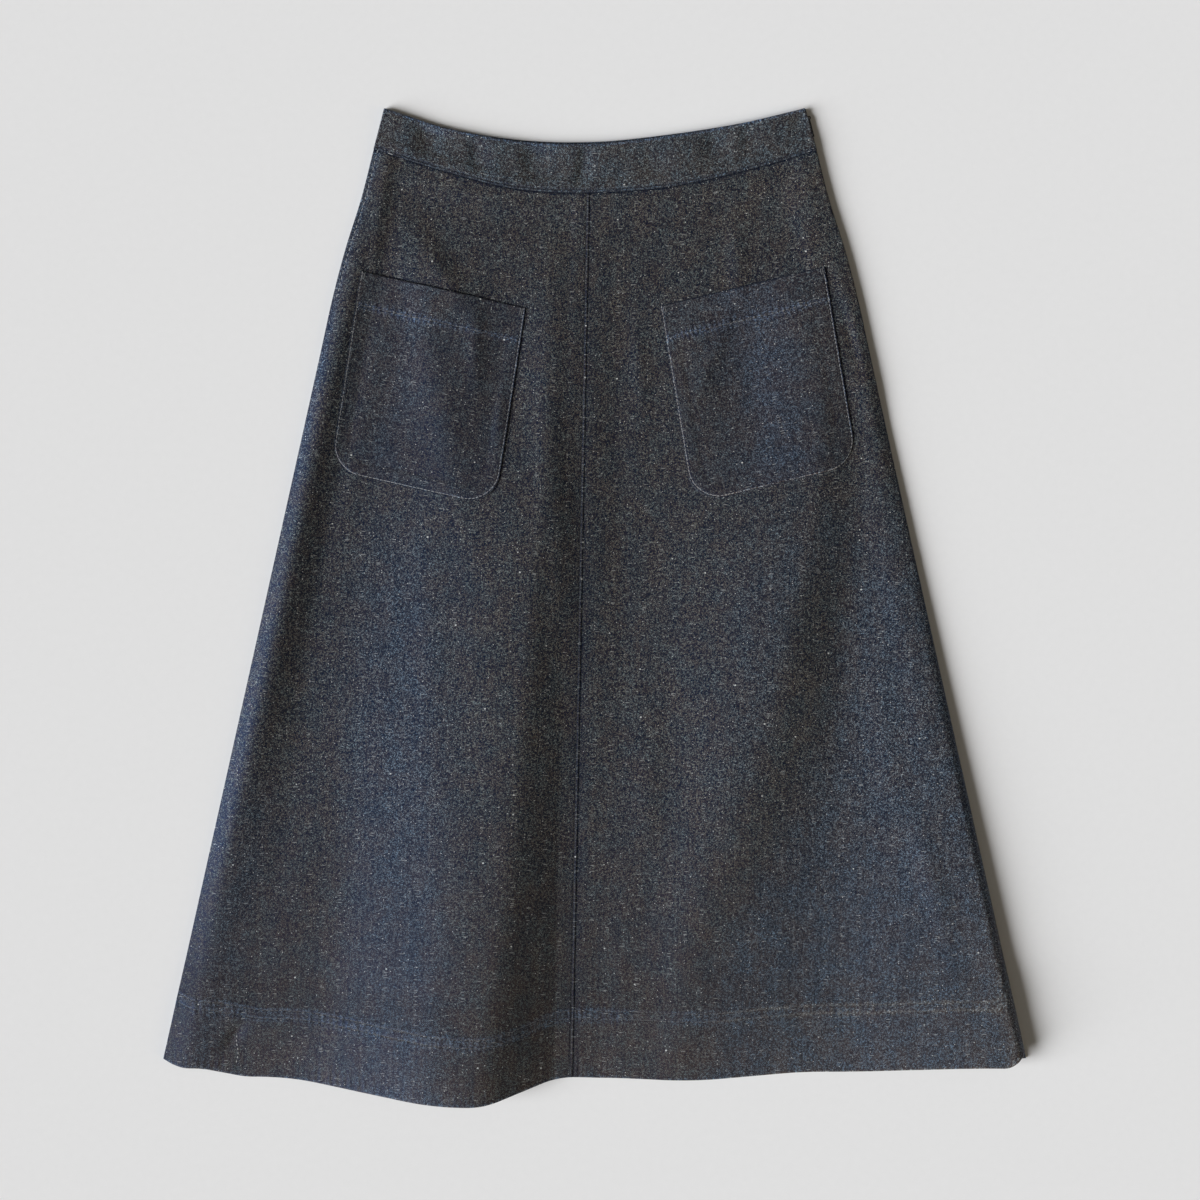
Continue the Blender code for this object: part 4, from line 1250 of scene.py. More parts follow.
def band_grid(step, end_step, peek=0.0):
    """Share and down of each point of a waistband, rows by columns."""
    share = np.concatenate((-1 + spaced(0, BAND_END, end_step), spaced(-BAND_MIDDLE, BAND_MIDDLE, step),
                            1 - spaced(BAND_END, 0, end_step)))
    top = band_top(share, peek)
    seam = band_line("seam", share)
    rows = [top + inset for inset in BAND_UPPER]
    for t in np.linspace(0, 1, BAND_MIDDLE_ROWS + 2)[1:-1]:
        rows.append(mix(top + BAND_UPPER[-1], seam - BAND_LOWER[0], t))
    rows += [seam - inset for inset in BAND_LOWER]
    down = np.array(rows)
    return np.broadcast_to(share, down.shape), down


def band_relief(x, down, from_top, from_seam):
    """Height of the front waistband over its flat face."""
    cloth = bpy.context.scene.skirt_cloth
    soft = crease_height(BAND_CREASES, x, down)
    soft += 0.0005 * uneven_lie(x * 1.5, down, cloth.seed + 20)
    held = ramp(from_seam, 0.002, 0.012) * ramp(from_top, 0.001, 0.008)
    ridge = 0.00035 * (1 - ramp(from_seam, 0.0095, 0.0125))
    shift = 0.8 * soft_noise(x, from_seam, 0.025, 0.050, cloth.seed + 21)
    pull = puckers(x, BAND_PUCKER, shift) * bump(from_seam, BAND_STITCH + 0.0016, 0.0030)
    relief_height = soft * (0.25 + 0.75 * held) + ridge + 0.00012 * pull
    relief_height -= BAND_GROOVE * bump(from_seam, BAND_STITCH, GROOVE_WIDTH)
    return relief_height - (0.0008 * roll_off(from_top, 0.0018) + 0.0004 * roll_off(from_seam, 0.0010))


def band_height(share, down):
    """Height of the front waistband's outer face."""
    x = share * half_width(down)
    return BAND_FACE + band_relief(x, down, down - band_line("top", share), band_line("seam", share) - down)


def waistband_front():
    """The front waistband, folded at its top and its lower edge."""
    cloth = bpy.context.scene.skirt_cloth
    share, down = band_grid(0.0058, 0.003)
    from_top = down - band_line("top", share)
    seam = band_line("seam", share)
    from_seam = seam - down
    end_left = (1 + share) * half_width(down)
    end_right = (1 - share) * half_width(down)
    cut_back = PULL_ROOM * (1 - ramp(end_right, 0.0, 0.0060)) * (1 - ramp(from_top, 0.0030, 0.0100))
    x = share * half_width(down) - cut_back
    high = band_height(share, down)
    high -= 0.0006 * roll_off(end_left, 0.0016) + 0.0003 * roll_off(end_right, 0.0012)
    beside_zip = 1 - ramp(end_right, 0.0100, 0.0112)
    wall = mix(2 * cloth.layer, cloth.layer, beside_zip)
    near_seam = 1 - ramp(from_seam, 0.0030, 0.0060)
    low = high - mix(wall, cloth.layer, near_seam * (1 - beside_zip))
    low = mix(low, 0.0020, (1 - ramp(end_left, 0.0008, 0.0035)) * (1 - near_seam))
    # Painted highlight on the lip of the lower fold and on the top fold; painted shade in the stitch groove
    # and along the seam.
    wear_and_highlight = 0.06 * bump(from_seam, 0.0011, 0.0004) + 0.12 * bump(from_top, 0.0010, 0.0012)
    painted_shade = 0.9 * bump(from_seam, BAND_STITCH, 0.0006) + 0.8 * bump(from_seam, 0.0, 0.0004)
    mesh = shell_mesh("waistband_front_cloth", place(x, down, high), place(x, down, low),
                      np.stack((x + BAND_CUT, down - seam), axis=-1), wear_and_light_masks(wear_and_highlight, painted_shade),
                      rounds=(0.0003, 0.0003, 0.00045, 0.0004), inner_step=2)
    return add_denim(mesh, "denim_band", "waistband_front")


def waistband_back():
    """The back waistband: its top shows behind the front one."""
    cloth = bpy.context.scene.skirt_cloth
    share, down = band_grid(0.012, 0.004, BACK_PEEK)
    x = share * half_width(down)
    from_top = down - band_top(share, BACK_PEEK)
    seam = band_line("seam", share)
    from_seam = seam - down
    beside_zip = 1 - ramp((1 - share) * half_width(down), 0.0100, 0.0112)
    high = mix(2 * cloth.layer, cloth.layer, beside_zip) + 0.0001
    low = (BACK_GROOVE * bump(from_seam, BAND_STITCH, GROOVE_WIDTH) + 0.0004 * roll_off(from_seam, 0.0012)
           + 0.0004 * roll_off(from_top, 0.0014))
    # Paler along the top fold from wear and painted highlight; painted shade along the seam.
    masks = wear_and_light_masks(0.1 * bump(from_top, 0.0, 0.0010), 0.8 * bump(from_seam, 0.0, 0.0010))
    mesh = shell_mesh("waistband_back_cloth", place(x, down, high), place(x, down, low),
                      np.stack((x + BACK_BAND_CUT, down - seam), axis=-1), masks,
                      rounds=(0.0003, 0.0003, 0.0002, 0.0003), inner_step=1)
    return add_denim(mesh, "denim_band", "waistband_back")


# ---------------------------------------------------------------- pockets


def pocket_sides(v):
    """Both edges of a pocket at a distance v below its mouth, in its own frame."""
    lean = v / POCKET_HEIGHT
    past = np.maximum(v - (POCKET_HEIGHT - POCKET_CORNER), 0.0)
    round_in = POCKET_CORNER - np.sqrt(np.maximum(POCKET_CORNER ** 2 - past ** 2, 0.0))
    return (POCKET_SIDE_LEAN * lean + round_in,
            POCKET_WIDTH + POCKET_CENTRE_LEAN * lean - round_in)


def pocket_border_distance(u, v):
    """Distance of each point from the pocket's sewn edges."""
    straight = POCKET_HEIGHT - POCKET_CORNER
    side, centre = pocket_sides(np.minimum(v, straight))
    past = v - straight
    plain = np.minimum(np.minimum(u - side, centre - u), POCKET_HEIGHT - v)
    left = POCKET_CORNER - np.hypot(side + POCKET_CORNER - u, past)
    right = POCKET_CORNER - np.hypot(u - centre + POCKET_CORNER, past)
    plain = np.where((past > 0) & (u < side + POCKET_CORNER), np.minimum(plain, left), plain)
    return np.where((past > 0) & (u > centre - POCKET_CORNER), np.minimum(plain, right), plain)


def pocket_place(pocket, u, v):
    """Across and down of points in a pocket's own frame."""
    tilt = math.radians(pocket.tilt)
    across = pocket.across - u * math.cos(tilt) + v * math.sin(tilt)
    down = pocket.down + u * math.sin(tilt) + v * math.cos(tilt)
    return across, down


def pocket_seed(pocket):
    """Start of a pocket's own random lie."""
    return bpy.context.scene.skirt_cloth.seed + (60 if pocket.half is LEFT else 80)


def pocket_pucker(pocket, u, v):
    """Little waves along the pocket's hem stitching and inside its edge stitching."""
    seed = pocket_seed(pocket) + 5
    shift = 0.9 * soft_noise(u, v, 0.022, 0.060, seed)
    strong = 0.6 + 0.4 * soft_noise(u, v, 0.04, 0.2, seed + 1)
    return puckers(u, POCKET_PUCKER, shift) * bump(v, POCKET_HEM, 0.0042) * strong


def pocket_stand_off(u, v):
    """How far a pocket's inner face stands off the panel: the mouth gapes a little."""
    middle = np.sin(math.pi * np.clip(u / POCKET_WIDTH, 0.0, 1.0))
    return HAIR + 0.00016 * middle ** 2 * (1 - ramp(v, 0.0, 0.045))


def pocket_rise(pocket, u, v):
    """Height of a pocket's outer face over the panel."""
    border = pocket_border_distance(u, v)
    layers = np.maximum(1 - ramp(border, POCKET_BORDER - 0.001, POCKET_BORDER + 0.004),
                        1 - ramp(v, POCKET_HEM + 0.0005, POCKET_HEM + 0.0045))
    rise = pocket_stand_off(u, v) + POCKET_LAYER * (1 + 0.6 * layers)
    slack = ramp(border, 0.003, 0.030)
    rise += slack * (0.0003 + 0.0006 * uneven_lie(u, v, pocket_seed(pocket)))
    rise += 0.00022 * pocket_pucker(pocket, u, v)
    rise -= POCKET_GROOVE * bump(border, POCKET_STITCH, 0.0006)
    rise -= POCKET_HEM_GROOVE * bump(v, POCKET_HEM, GROOVE_WIDTH) * ramp(border, 0.0, 0.004)
    rise -= 0.0002 * roll_off(v, 0.0012)
    return rise


def pocket_point(pocket, u, v, rise):
    """Points over the panel at a height, and the panel's normals there."""
    across, down = pocket_place(pocket, u, v)
    normal = front_normal(pocket.half, across, down)
    return front_point(pocket.half, across, down, front_lie) + normal * rise[..., None], normal


POCKET_NEAR = (0.0, 0.0006, 0.0011, 0.0016, 0.0022, 0.0030, 0.0042, 0.0058, 0.0075, 0.0090, 0.0105, 0.0122)
POCKET_MIDDLE_COLUMNS = 164
POCKET_MOUTH = (0.0, 0.0005, 0.0010, 0.0017, 0.0026, 0.0040)
POCKET_HEM_LINES = (-0.003, -0.002, -0.0012, -0.0006, 0.0, 0.0006, 0.0012, 0.002, 0.003)
POCKET_CORNER_ROWS = 48


def pocket_grid():
    """U and v of each point of a pocket, rows by columns."""
    near = np.array(POCKET_NEAR) / POCKET_WIDTH
    middle = np.linspace(near[-1], 1 - near[-1], POCKET_MIDDLE_COLUMNS + 2)[1:-1]
    columns = np.concatenate((near, middle, 1 - near[::-1]))
    straight = POCKET_HEIGHT - POCKET_CORNER
    rows = np.concatenate((
        POCKET_MOUTH, spaced(0.0055, 0.0240, 0.0014), lines_about((POCKET_HEM,), POCKET_HEM_LINES),
        spaced(0.0325, straight, 0.0012)[:-1],
        straight + POCKET_CORNER * np.sin(np.linspace(0, math.pi / 2, POCKET_CORNER_ROWS))))
    v = np.repeat(rows[:, None], len(columns), axis=1)
    side, centre = pocket_sides(v)
    return mix(side, centre, columns[None, :]), v


def pocket_wear_and_painted_light(pocket, u, v, border):
    """Masks of a pocket: painted highlight on the edges that face the light, wear and painted highlight on
    its hem row and pucker crests, painted shade at its border, pucker valleys and mouth.
    """
    pucker = pocket_pucker(pocket, u, v)
    from_left = u / POCKET_WIDTH
    at_foot = ramp(v, 0.135, 0.160)
    if pocket.half is RIGHT:
        from_left = 1 - from_left
    else:
        at_foot *= mix(0.30, 1.0, np.maximum(1 - ramp(from_left, 0.15, 0.30), ramp(from_left, 0.70, 0.80)))
    # Painted highlight on each pocket's left edge and its foot, which face the light.
    bright = np.maximum(np.maximum(1 - ramp(from_left, 0.10, 0.30), at_foot), 0.25)
    bright *= ramp(v, 0.0, 0.0012)
    bright *= 0.7 + 0.3 * soft_noise(u, v, 0.005, 0.005, 17)
    # Edge lip paler as painted highlight; hem row and pucker crests paler from wear and painted highlight.
    wear_and_highlight = (0.75 * bump(border, 0.0009, 0.00045) * bright + 0.12 * bump(v, POCKET_HEM, 0.0014)
            + 0.12 * np.maximum(pucker, 0))
    # Painted shade at the sewn border and in the pucker valleys.
    painted_shade = 0.9 * bump(border, 0.0, 0.0003) + 0.2 * np.maximum(-pucker, 0)
    if pocket.half is RIGHT:
        # Painted light across the middle, painted shade along the mouth.
        wear_and_highlight += 0.05 * bump(from_left, 0.5, 0.30)
        painted_shade += bump(v, 0.0, 0.0008)
    else:
        # Painted light in a soft band, painted shade along the mouth and over the right part.
        wear_and_highlight += 0.03 * bump(from_left, 0.36, 0.16)
        painted_shade += 0.3 * bump(v, 0.0, 0.0008) + 0.12 * ramp(from_left, 0.48, 0.62)
    return wear_and_light_masks(wear_and_highlight, painted_shade)


def pocket_piece(pocket):
    """A patch pocket, made from the panel's points moved out."""
    u, v = pocket_grid()
    border = pocket_border_distance(u, v)
    outer, _ = pocket_point(pocket, u, v, pocket_rise(pocket, u, v))
    inner, _ = pocket_point(pocket, u, v, np.where(border < 0.0004, HAIR, pocket_stand_off(u, v)))
    maps = np.stack((-pocket.half.side * u + POCKET_CUT, v), axis=-1)
    mesh = shell_mesh(f"pocket_{pocket.name}_cloth", outer, inner, maps, pocket_wear_and_painted_light(pocket, u, v, border),
                      rounds=(0.0002,) * 4, flip=pocket.half is RIGHT)
    return add_denim(mesh, "denim_pocket", f"pocket_{pocket.name}")


# ---------------------------------------------------------------- stitches and teeth


def turned_to_path(tree):
    """Rotation that lays X along a path and Z along its stored up vectors."""
    tangent = add_node(tree, "GeometryNodeInputTangent").outputs[0]
    up = add_node(tree, "GeometryNodeInputNamedAttribute", {"Name": "up"}, data_type="FLOAT_VECTOR")
    along = add_node(tree, "FunctionNodeAlignRotationToVector", {"Vector": tangent}, axis="X")
    upright = add_node(tree, "FunctionNodeAlignRotationToVector", {
        "Rotation": along.outputs[0], "Vector": up.outputs[0]}, axis="Z", pivot_axis="X")
    return upright.outputs[0]


def row_tree(name, inputs, make_copy):
    """A tree that lays copies of one small shape along paths.

    make_copy gets the tree and its inputs, and returns the copy's mesh, the
    distance from one copy to the next, and the copies' scales or None.
    """
    tree, given, result = new_tree("GeometryNodeTree", name, {
        "Geometry": (GEOMETRY, None), **inputs, "Finish": (FINISH, None)}, {"Geometry": GEOMETRY})
    copy, pitch, scale = make_copy(tree, given.outputs)
    path = add_node(tree, "GeometryNodeMeshToCurve", {"Mesh": given.outputs["Geometry"]})
    points = add_node(tree, "GeometryNodeResampleCurve", {
        "Curve": path.outputs[0], "Length": pitch}, mode="LENGTH")
    copies = add_node(tree, "GeometryNodeInstanceOnPoints", {
        "Points": points.outputs[0], "Instance": copy, "Rotation": turned_to_path(tree)})
    if scale:
        feed(tree, copies, {"Scale": scale})
    smooth = add_node(tree, "GeometryNodeSetShadeSmooth", {0: copies.outputs[0]})
    real = add_node(tree, "GeometryNodeRealizeInstances", {0: smooth.outputs[0]})
    finish = add_node(tree, "GeometryNodeSetMaterial", {
        "Geometry": real.outputs[0], "Material": given.outputs["Finish"]})
    tree.links.new(finish.outputs[0], result.inputs[0])
    return tree


def one_stitch(tree, given):
    """A short arched thread with its ends sunk in the cloth, of slightly uneven size."""
    half = maths(tree, "MULTIPLY", given["Stitch"], 0.5)
    dip = maths(tree, "MULTIPLY", given["Thread"], -1.1)
    crown = maths(tree, "MULTIPLY", given["Thread"], 1.3)
    start = add_node(tree, "ShaderNodeCombineXYZ", {"X": maths(tree, "MULTIPLY", half, -1.0), "Z": dip})
    middle = add_node(tree, "ShaderNodeCombineXYZ", {"Z": crown})
    end = add_node(tree, "ShaderNodeCombineXYZ", {"X": half, "Z": dip})
    arch = add_node(tree, "GeometryNodeCurveQuadraticBezier", {
        "Resolution": 4, "Start": start.outputs[0], "Middle": middle.outputs[0], "End": end.outputs[0]})
    ring = add_node(tree, "GeometryNodeCurvePrimitiveCircle", {
        "Resolution": 6, "Radius": given["Thread"]}, mode="RADIUS")
    stitch = add_node(tree, "GeometryNodeCurveToMesh", {
        "Curve": arch.outputs[0], "Profile Curve": ring.outputs[0], "Fill Caps": True})
    sizes = add_node(tree, "FunctionNodeRandomValue", {
        0: (0.86, 0.9, 0.8), 1: (1.08, 1.1, 1.15), "Seed": given["Seed"]}, data_type="FLOAT_VECTOR")
    return stitch.outputs[0], maths(tree, "ADD", given["Stitch"], given["Gap"]), sizes.outputs[0]


def one_tooth(tree, given):
    """One turn of the zip's coil: a short bar across the path."""
    bar = add_node(tree, "GeometryNodeMeshCylinder", {
        "Vertices": 8, "Side Segments": 1, "Radius": given["Thread"], "Depth": given["Width"]})
    return bar.outputs["Mesh"], given["Pitch"], None


def stitch_tree():
    """Rows of stitches."""
    return row_tree("Stitch row", {
        "Stitch": (FLOAT, 0.0024), "Gap": (FLOAT, 0.0008), "Thread": (FLOAT, 0.00024),
        "Seed": (WHOLE, 0)}, one_stitch)


def coil_tree():
    """The zip's coil."""
    return row_tree("Zip coil", {
        "Pitch": (FLOAT, 0.00115), "Width": (FLOAT, 0.0016), "Thread": (FLOAT, 0.00032)}, one_tooth)


def run_tree(name, paths, tree, values):
    """Mesh that a tree makes from paths, each a pair of points and their up vectors."""
    guide = bpy.data.meshes.new(name + "_paths")
    edges = []
    start = 0
    for path, _ in paths:
        edges += [(start + i, start + i + 1) for i in range(len(path) - 1)]
        start += len(path)
    guide.from_pydata(np.concatenate([path for path, _ in paths]).tolist(), edges, [])
    ups = guide.attributes.new("up", "FLOAT_VECTOR", "POINT")
    ups.data.foreach_set("vector", np.concatenate([up for _, up in paths]).astype(np.float32).ravel())
    holder = bpy.data.objects.new(name + "_paths", guide)
    bpy.context.scene.collection.objects.link(holder)
    modifier = holder.modifiers.new("Row", "NODES")
    modifier.node_group = tree
    sockets = {item.name: item.identifier for item in tree.interface.items_tree if item.in_out == "INPUT"}
    for label, value in values.items():
        modifier[sockets[label]] = value
    holder.update_tag()
    shown = holder.evaluated_get(bpy.context.evaluated_depsgraph_get())
    mesh = bpy.data.meshes.new_from_object(shown)
    mesh.name = name
    bpy.data.objects.remove(holder, do_unlink=True)
    return mesh


def stitch_row(name, paths, finish, seed, stitch=None, gap=None, thread=None):
    """Stitches along paths, as one piece; sizes that aren't given are those of the settings."""
    sewing = bpy.context.scene.skirt_sewing
    tree = bpy.data.node_groups.get("Stitch row") or stitch_tree()
    mesh = run_tree(name, paths, tree, {
        "Stitch": stitch or sewing.stitch, "Gap": gap or sewing.gap, "Thread": thread or sewing.thread,
        "Seed": seed, "Finish": finish})
    return add_piece(name, mesh, finish)


def straight_up(count):
    """Up vectors that all point off the floor."""
    return np.tile((0.0, 0.0, 1.0), (count, 1))


def front_path(half, across, down):
    """A path on the front's outer face, with its normals."""
    return front_point(half, across, down), front_normal(half, across, down)


def centre_path():
    """The edge stitch beside the centre seam, from the waistband to the hem's fold."""
    seam = seam_down(np.array(centre_x(0.07)), np.array(0.07))
    down = np.linspace(float(seam) + 0.002, CENTRE_STITCH_END, 400)
    return front_path(LEFT, LEFT.side * centre_x(down) + CENTRE_STITCH, down)


def hem_path(half, row):
    """A stitched row that keeps its distance above the hem's fold."""
    near_centre = 0.001
    near_edge = 0.003
    guess = 0.77
    outer = half_width(np.array(0.81)) - near_edge
    across = np.linspace(float(outer), float(half.side * centre_x(guess)) + near_centre, 500)
    down = np.full_like(across, guess)
    for _ in range(HEM_ROUNDS):
        down = hem_down(half, *locate(half, across, down)) - row
        across = np.clip(across, half.side * centre_x(down) + near_centre, half_width(down) - near_edge)
    return front_path(half, across, down)


def side_path():
    """The topstitch beside the left side seam, from the waistband to beside the pocket."""
    down = np.linspace(SIDE_STITCH_START, SIDE_STITCH_END, 80)
    return front_path(LEFT, half_width(down) - SIDE_STITCH, down)


def tuck_path():
    """The crooked row that holds the small tuck at the left of the hem."""
    down = np.linspace(*TUCK_DOWN, 26)
    return front_path(LEFT, TUCK_ACROSS - 0.0008 * np.sin(300 * down), down)


def band_path():
    """The edge stitch above the waistband's lower fold."""
    share = np.linspace(-0.992, 0.992, 420)
    down = band_line("seam", share) - BAND_STITCH
    return place(share * half_width(down), down, band_height(share, down)), straight_up(len(share))


def pocket_edge_places(inset):
    """U and v along the sewn edge of a pocket, at an inset, from mouth to mouth."""
    straight = POCKET_HEIGHT - POCKET_CORNER
    v = np.linspace(0.001, straight, 60)
    side, centre = pocket_sides(v)
    low_side, low_centre = pocket_sides(np.array(straight))
    turns = np.linspace(0, math.pi / 2, 24)[1:]
    radius = POCKET_CORNER - inset
    left_u = low_side + POCKET_CORNER - radius * np.cos(turns)
    right_u = low_centre - POCKET_CORNER + radius * np.sin(turns)
    u = np.concatenate((side + inset, left_u, right_u, (centre - inset)[::-1]))
    v = np.concatenate((v, straight + radius * np.sin(turns), straight + radius * np.cos(turns), v[::-1]))
    return u, v


def pocket_path(pocket, u, v, lift=0.0):
    """A path on a pocket's outer face, with its normals."""
    return pocket_point(pocket, u, v, pocket_rise(pocket, u, v) + lift)


def pocket_hem_path(pocket):
    """The row that holds the hem at a pocket's mouth."""
    end = 0.0035
    u = np.linspace(end, float(pocket_sides(np.array(POCKET_HEM))[1]) - end, 160)
    return pocket_path(pocket, u, np.full_like(u, POCKET_HEM))


def pocket_tack(pocket, u):
    """A short zigzag of stitches that holds a top corner."""
    count = 9
    v = np.linspace(0.0012, 0.0060, count)
    sway = np.where(np.arange(count) % 2, 0.0010, -0.0010)
    return resampled(*pocket_path(pocket, u + sway, v, 0.0001))


def resampled(points, ups, step=0.0008):
    """Even points along a path, so that its corners stay sharp."""
    lengths = np.concatenate(([0.0], np.cumsum(np.linalg.norm(np.diff(points, axis=0), axis=1))))
    at = spaced(0.0, float(lengths[-1]), step)
    return (np.stack([np.interp(at, lengths, points[:, i]) for i in range(3)], axis=1),
            np.stack([np.interp(at, lengths, ups[:, i]) for i in range(3)], axis=1))


def zip_strip():
    """The closed tapes inside the right side seam, as two folded strips."""
    down = np.linspace(ZIP_TOP, ZIP_END, 90)[:, None]
    shares = np.linspace(0, 1, 15)[None, :]
    teeth = half_width(down) - ZIP_INSET
    x = mix(teeth - ZIP_WIDTH, teeth - 0.0006, shares)
    down = np.broadcast_to(down, x.shape)
    rib = 0.00018 * bump(shares * ZIP_WIDTH, ZIP_WIDTH - 0.0022, 0.0006)
    turn = 0.0003 * roll_off(shares * ZIP_WIDTH, 0.001)
    upper = place(x, down, ZIP_HIGH - 0.0003 + rib - turn)
    lower = place(x, down, ZIP_LOW + 0.0003 - rib + turn)
    maps = np.stack((x, down), axis=-1)
    mesh = shell_mesh("zip_tape_cloth", upper, lower, maps, {"wear_and_highlight": np.zeros_like(x)},
                      rounds=(0.0002,) * 4, inner_step=1)
    return add_piece(mesh.name, mesh, kept(tape_material, "Zip tape"), nodes=["zip_tapes"])


COIL_COLOUR = (0.020, 0.021, 0.026)
COIL_WIDTH = 0.0015
COIL_THREAD = 0.00036     # half of its thickness


def zip_coil():
    """The coil between the tapes, just inside the side edge."""
    down = np.linspace(ZIP_TOP, ZIP_END, 160)
    path = place(half_width(down) - ZIP_INSET - 0.00045, down, (ZIP_LOW + ZIP_HIGH) / 2)
    coil = kept(thread_material, "Zip coil", COIL_COLOUR)
    tree = bpy.data.node_groups.get("Zip coil") or coil_tree()
    mesh = run_tree("zip_coil", [(path, straight_up(len(down)))], tree, {
        "Pitch": bpy.context.scene.skirt_zip.tooth_pitch, "Width": COIL_WIDTH, "Thread": COIL_THREAD,
        "Finish": coil})
    return add_piece("zip_coil", mesh, coil)


# ---------------------------------------------------------------- stage

FLOOR_REACH = 4.0
FLOOR_HEIGHT = -0.0001    # just below the back panel
VIEW_SHIFT = 0.00425      # the camera stands this far right of and above the middle
SENSOR = 36.0             # millimetres
WHITE = (1.0, 1.0, 1.0)
FILL_COLOUR = (1.30, 1.0, 0.55)
FILL_STRENGTH = 0.30
FILL_HEIGHT = math.radians(25)
FILL_HEADING = math.radians(-20)
FILL_SOFTNESS = math.radians(40)


def add_sun(name, strength, colour, height, heading, softness):
    """A soft distant light from a height above the floor and a heading from +X."""
    lamp = bpy.data.lights.new(name, "SUN")
    lamp.energy = strength
    lamp.color = colour
    lamp.angle = softness
    thing = bpy.data.objects.new(name, lamp)
    bpy.context.scene.collection.objects.link(thing)
    level = -math.cos(height)
    shines = Vector((level * math.cos(heading), level * math.sin(heading), -math.sin(height)))
    thing.rotation_euler = shines.to_track_quat("-Z", "Y").to_euler()
    return thing


# ---------------------------------------------------------------- operators


class SKIRT_OT_stage(Operator):
    """Pale floor, soft light from the left and a camera straight above the skirt"""
    bl_idname = "skirt.stage"
    bl_label = "Stage"

    def execute(self, context):
        stage = context.scene.skirt_stage
        turns = ((-1, -1), (1, -1), (1, 1), (-1, 1))
        corners = [(x * FLOOR_REACH, y * FLOOR_REACH, FLOOR_HEIGHT) for x, y in turns]
        mesh = bpy.data.meshes.new("floor")
        mesh.from_pydata(corners, [], [(0, 1, 2, 3)])
        mesh.materials.append(kept(floor_material, "Pale floor"))
        floor = bpy.data.objects.new("floor", mesh)
        context.scene.collection.objects.link(floor)

        add_sun("Key", stage.key_strength, WHITE, stage.key_height, math.pi + stage.key_turn, stage.softness)
        add_sun("Fill", FILL_STRENGTH, FILL_COLOUR, FILL_HEIGHT, FILL_HEADING, FILL_SOFTNESS)
        world = bpy.data.worlds.new("Room")
        world.use_nodes = True
        background = world.node_tree.nodes["Background"]
        background.inputs["Color"].default_value = (*WHITE, 1.0)
        background.inputs["Strength"].default_value = stage.room
        context.scene.world = world
        context.scene.view_settings.view_transform = "Standard"

        lens = bpy.data.cameras.new("Camera")
        lens.sensor_width = SENSOR
        lens.lens = SENSOR * stage.view_distance / stage.view_width
        camera = bpy.data.objects.new("Camera", lens)
        context.scene.collection.objects.link(camera)
        camera.location = (VIEW_SHIFT, VIEW_SHIFT, stage.view_distance)
        context.scene.camera = camera
        return {"FINISHED"}


class SKIRT_OT_fronts(Operator):
    """Both halves of the front"""
    bl_idname = "skirt.fronts"
    bl_label = "Front panels"

    def execute(self, context):
        for half in (LEFT, RIGHT):
            front_panel(half)
        return {"FINISHED"}


class SKIRT_OT_back(Operator):
    """The back panel, flat on the floor"""
    bl_idname = "skirt.back"
    bl_label = "Back panel"

    def execute(self, context):
        back_panel()
        return {"FINISHED"}


class SKIRT_OT_waistband(Operator):
    """Front and back waistband"""
    bl_idname = "skirt.waistband"
    bl_label = "Waistband"

    def execute(self, context):
        waistband_front()
        waistband_back()
        return {"FINISHED"}


class SKIRT_OT_pockets(Operator):
    """Both patch pockets"""
    bl_idname = "skirt.pockets"
    bl_label = "Pockets"

    def execute(self, context):
        for pocket in POCKETS:
            pocket_piece(pocket)
        return {"FINISHED"}


class SKIRT_OT_zip(Operator):
    """Tapes and coil of the side zip, and the finish of its slider and pull"""
    bl_idname = "skirt.zip"
    bl_label = "Side zip"

    def execute(self, context):
        zip_strip()
        zip_coil()
        metal = kept(metal_material, "Zip metal")
        for node in ("zip_slider", "zip_pull"):
            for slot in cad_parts[node].material_slots:
                slot.material = metal
        return {"FINISHED"}


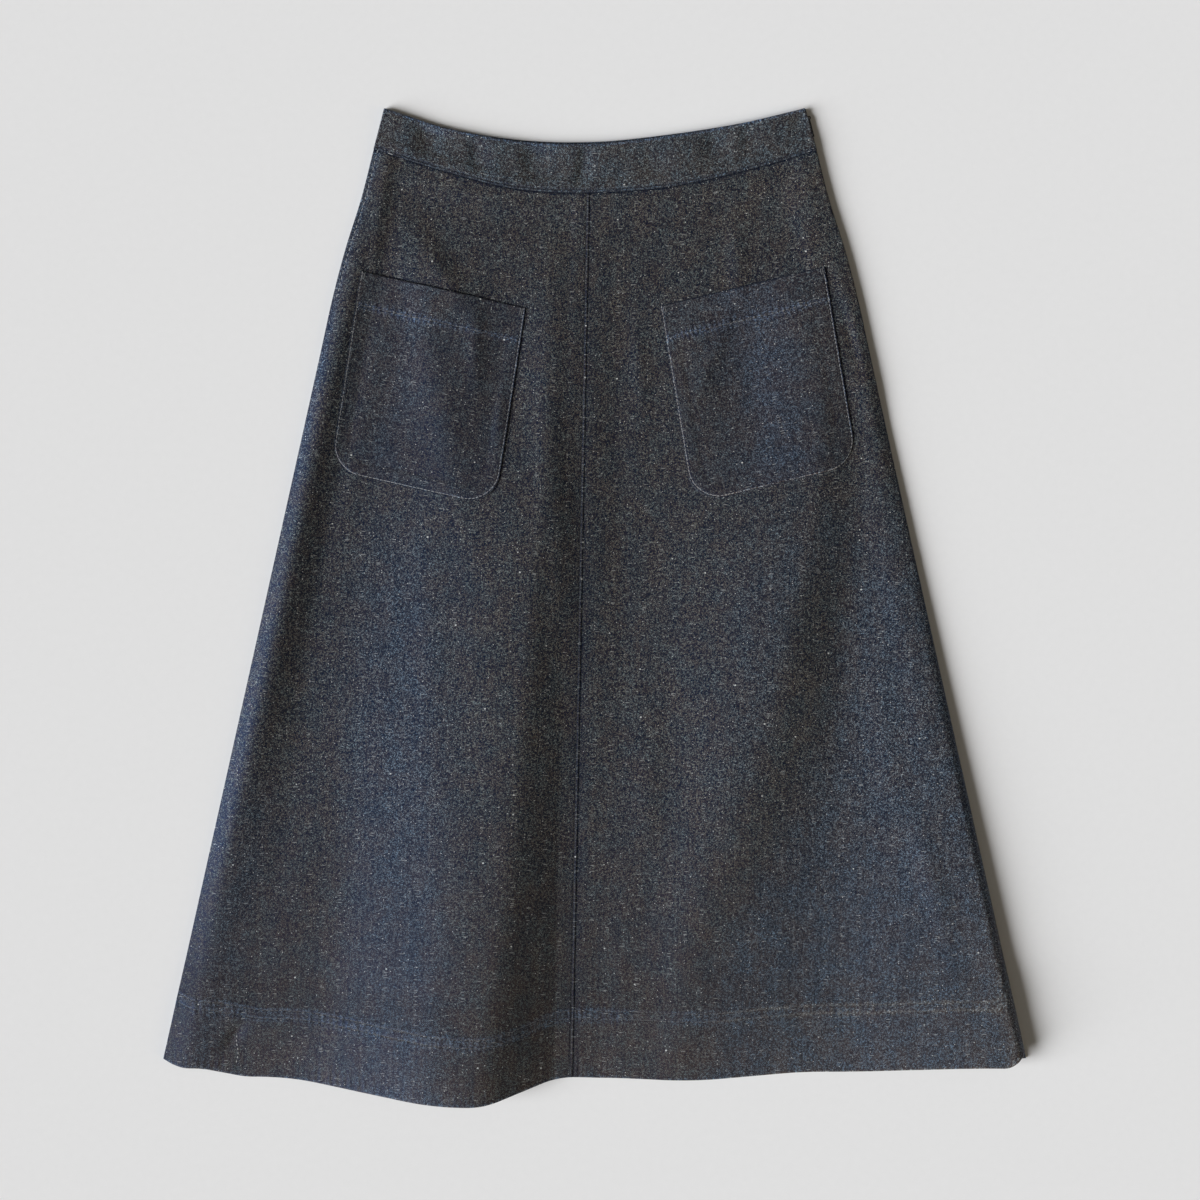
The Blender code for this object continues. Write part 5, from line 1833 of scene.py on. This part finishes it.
class SKIRT_OT_stitches(Operator):
    """Rows of stitches on every seam, hem and pocket"""
    bl_idname = "skirt.stitches"
    bl_label = "Stitches"

    def execute(self, context):
        sewing = context.scene.skirt_sewing
        dark = kept(thread_material, "Dark thread", sewing.dark)
        pale = kept(thread_material, "Pale thread", sewing.pale)
        dull = kept(thread_material, "Dull thread", sewing.dull)
        stitch_row("waistband_stitches", [band_path()], dark, seed=1, stitch=0.0030, gap=0.0010)
        stitch_row("centre_stitches", [centre_path()], dark, seed=2)
        hems = [hem_path(half, row) for half in (LEFT, RIGHT) for row in HEM_ROWS]
        stitch_row("hem_stitches", hems, dull, seed=3, stitch=0.0026, gap=0.0012)
        stitch_row("tuck_stitches", [tuck_path()], pale, seed=7, stitch=0.0020, gap=0.0012,
                   thread=0.00036)
        stitch_row("side_stitches", [side_path()], pale, seed=4, stitch=0.0034, gap=0.0016)
        for pocket in POCKETS:
            name = f"pocket_{pocket.name}"
            edge = pocket_path(pocket, *pocket_edge_places(POCKET_STITCH))
            stitch_row(f"{name}_stitches", [edge], pale, seed=5, thread=0.00021)
            stitch_row(f"{name}_hem_stitches", [pocket_hem_path(pocket)], dull, seed=8)
            tacks = [pocket_tack(pocket, u) for u in (TACK_INSET, POCKET_WIDTH - TACK_INSET)]
            stitch_row(f"{name}_tacks", tacks, dull, seed=6, stitch=0.0016, gap=0.0001)
        return {"FINISHED"}


class SKIRT_OT_sheets(Operator):
    """Does nothing"""
    bl_idname = "skirt.sheets"
    bl_label = "Declare the sheets"

    def execute(self, context):
        return {"FINISHED"}


class SKIRT_PT_panel(Panel):
    """Sizes, colours and pieces of the skirt"""
    bl_idname = "SKIRT_PT_panel"
    bl_label = "Denim skirt"
    bl_space_type = "VIEW_3D"
    bl_region_type = "UI"
    bl_category = "Skirt"

    def draw(self, context):
        for label, key in SETTINGS.items():
            box = self.layout.box()
            box.label(text=label.replace("skirt_", "").title())
            settings = getattr(context.scene, label)
            for field in key.__annotations__:
                box.prop(settings, field)
        for operator in OPERATORS:
            self.layout.operator(operator.bl_idname)


SETTINGS = {"skirt_cloth": SkirtCloth, "skirt_denim": SkirtDenim, "skirt_sewing": SkirtSewing,
            "skirt_zip": SkirtZip, "skirt_stage": SkirtStage}
OPERATORS = (SKIRT_OT_stage, SKIRT_OT_fronts, SKIRT_OT_back, SKIRT_OT_waistband, SKIRT_OT_pockets,
             SKIRT_OT_zip, SKIRT_OT_stitches, SKIRT_OT_sheets)


def register():
    for group in SETTINGS.values():
        bpy.utils.register_class(group)
    for operator in OPERATORS:
        bpy.utils.register_class(operator)
    bpy.utils.register_class(SKIRT_PT_panel)
    for label, group in SETTINGS.items():
        setattr(bpy.types.Scene, label, PointerProperty(type=group))


def unregister():
    for label in SETTINGS:
        delattr(bpy.types.Scene, label)
    bpy.utils.unregister_class(SKIRT_PT_panel)
    for operator in reversed(OPERATORS):
        bpy.utils.unregister_class(operator)
    for group in reversed(SETTINGS.values()):
        bpy.utils.unregister_class(group)


def main():
    register()
    bpy.ops.skirt.stage()
    bpy.ops.skirt.fronts()
    bpy.ops.skirt.back()
    bpy.ops.skirt.waistband()
    bpy.ops.skirt.pockets()
    bpy.ops.skirt.zip()
    bpy.ops.skirt.stitches()
    bpy.ops.skirt.sheets()


if __name__ == "__main__":
    main()
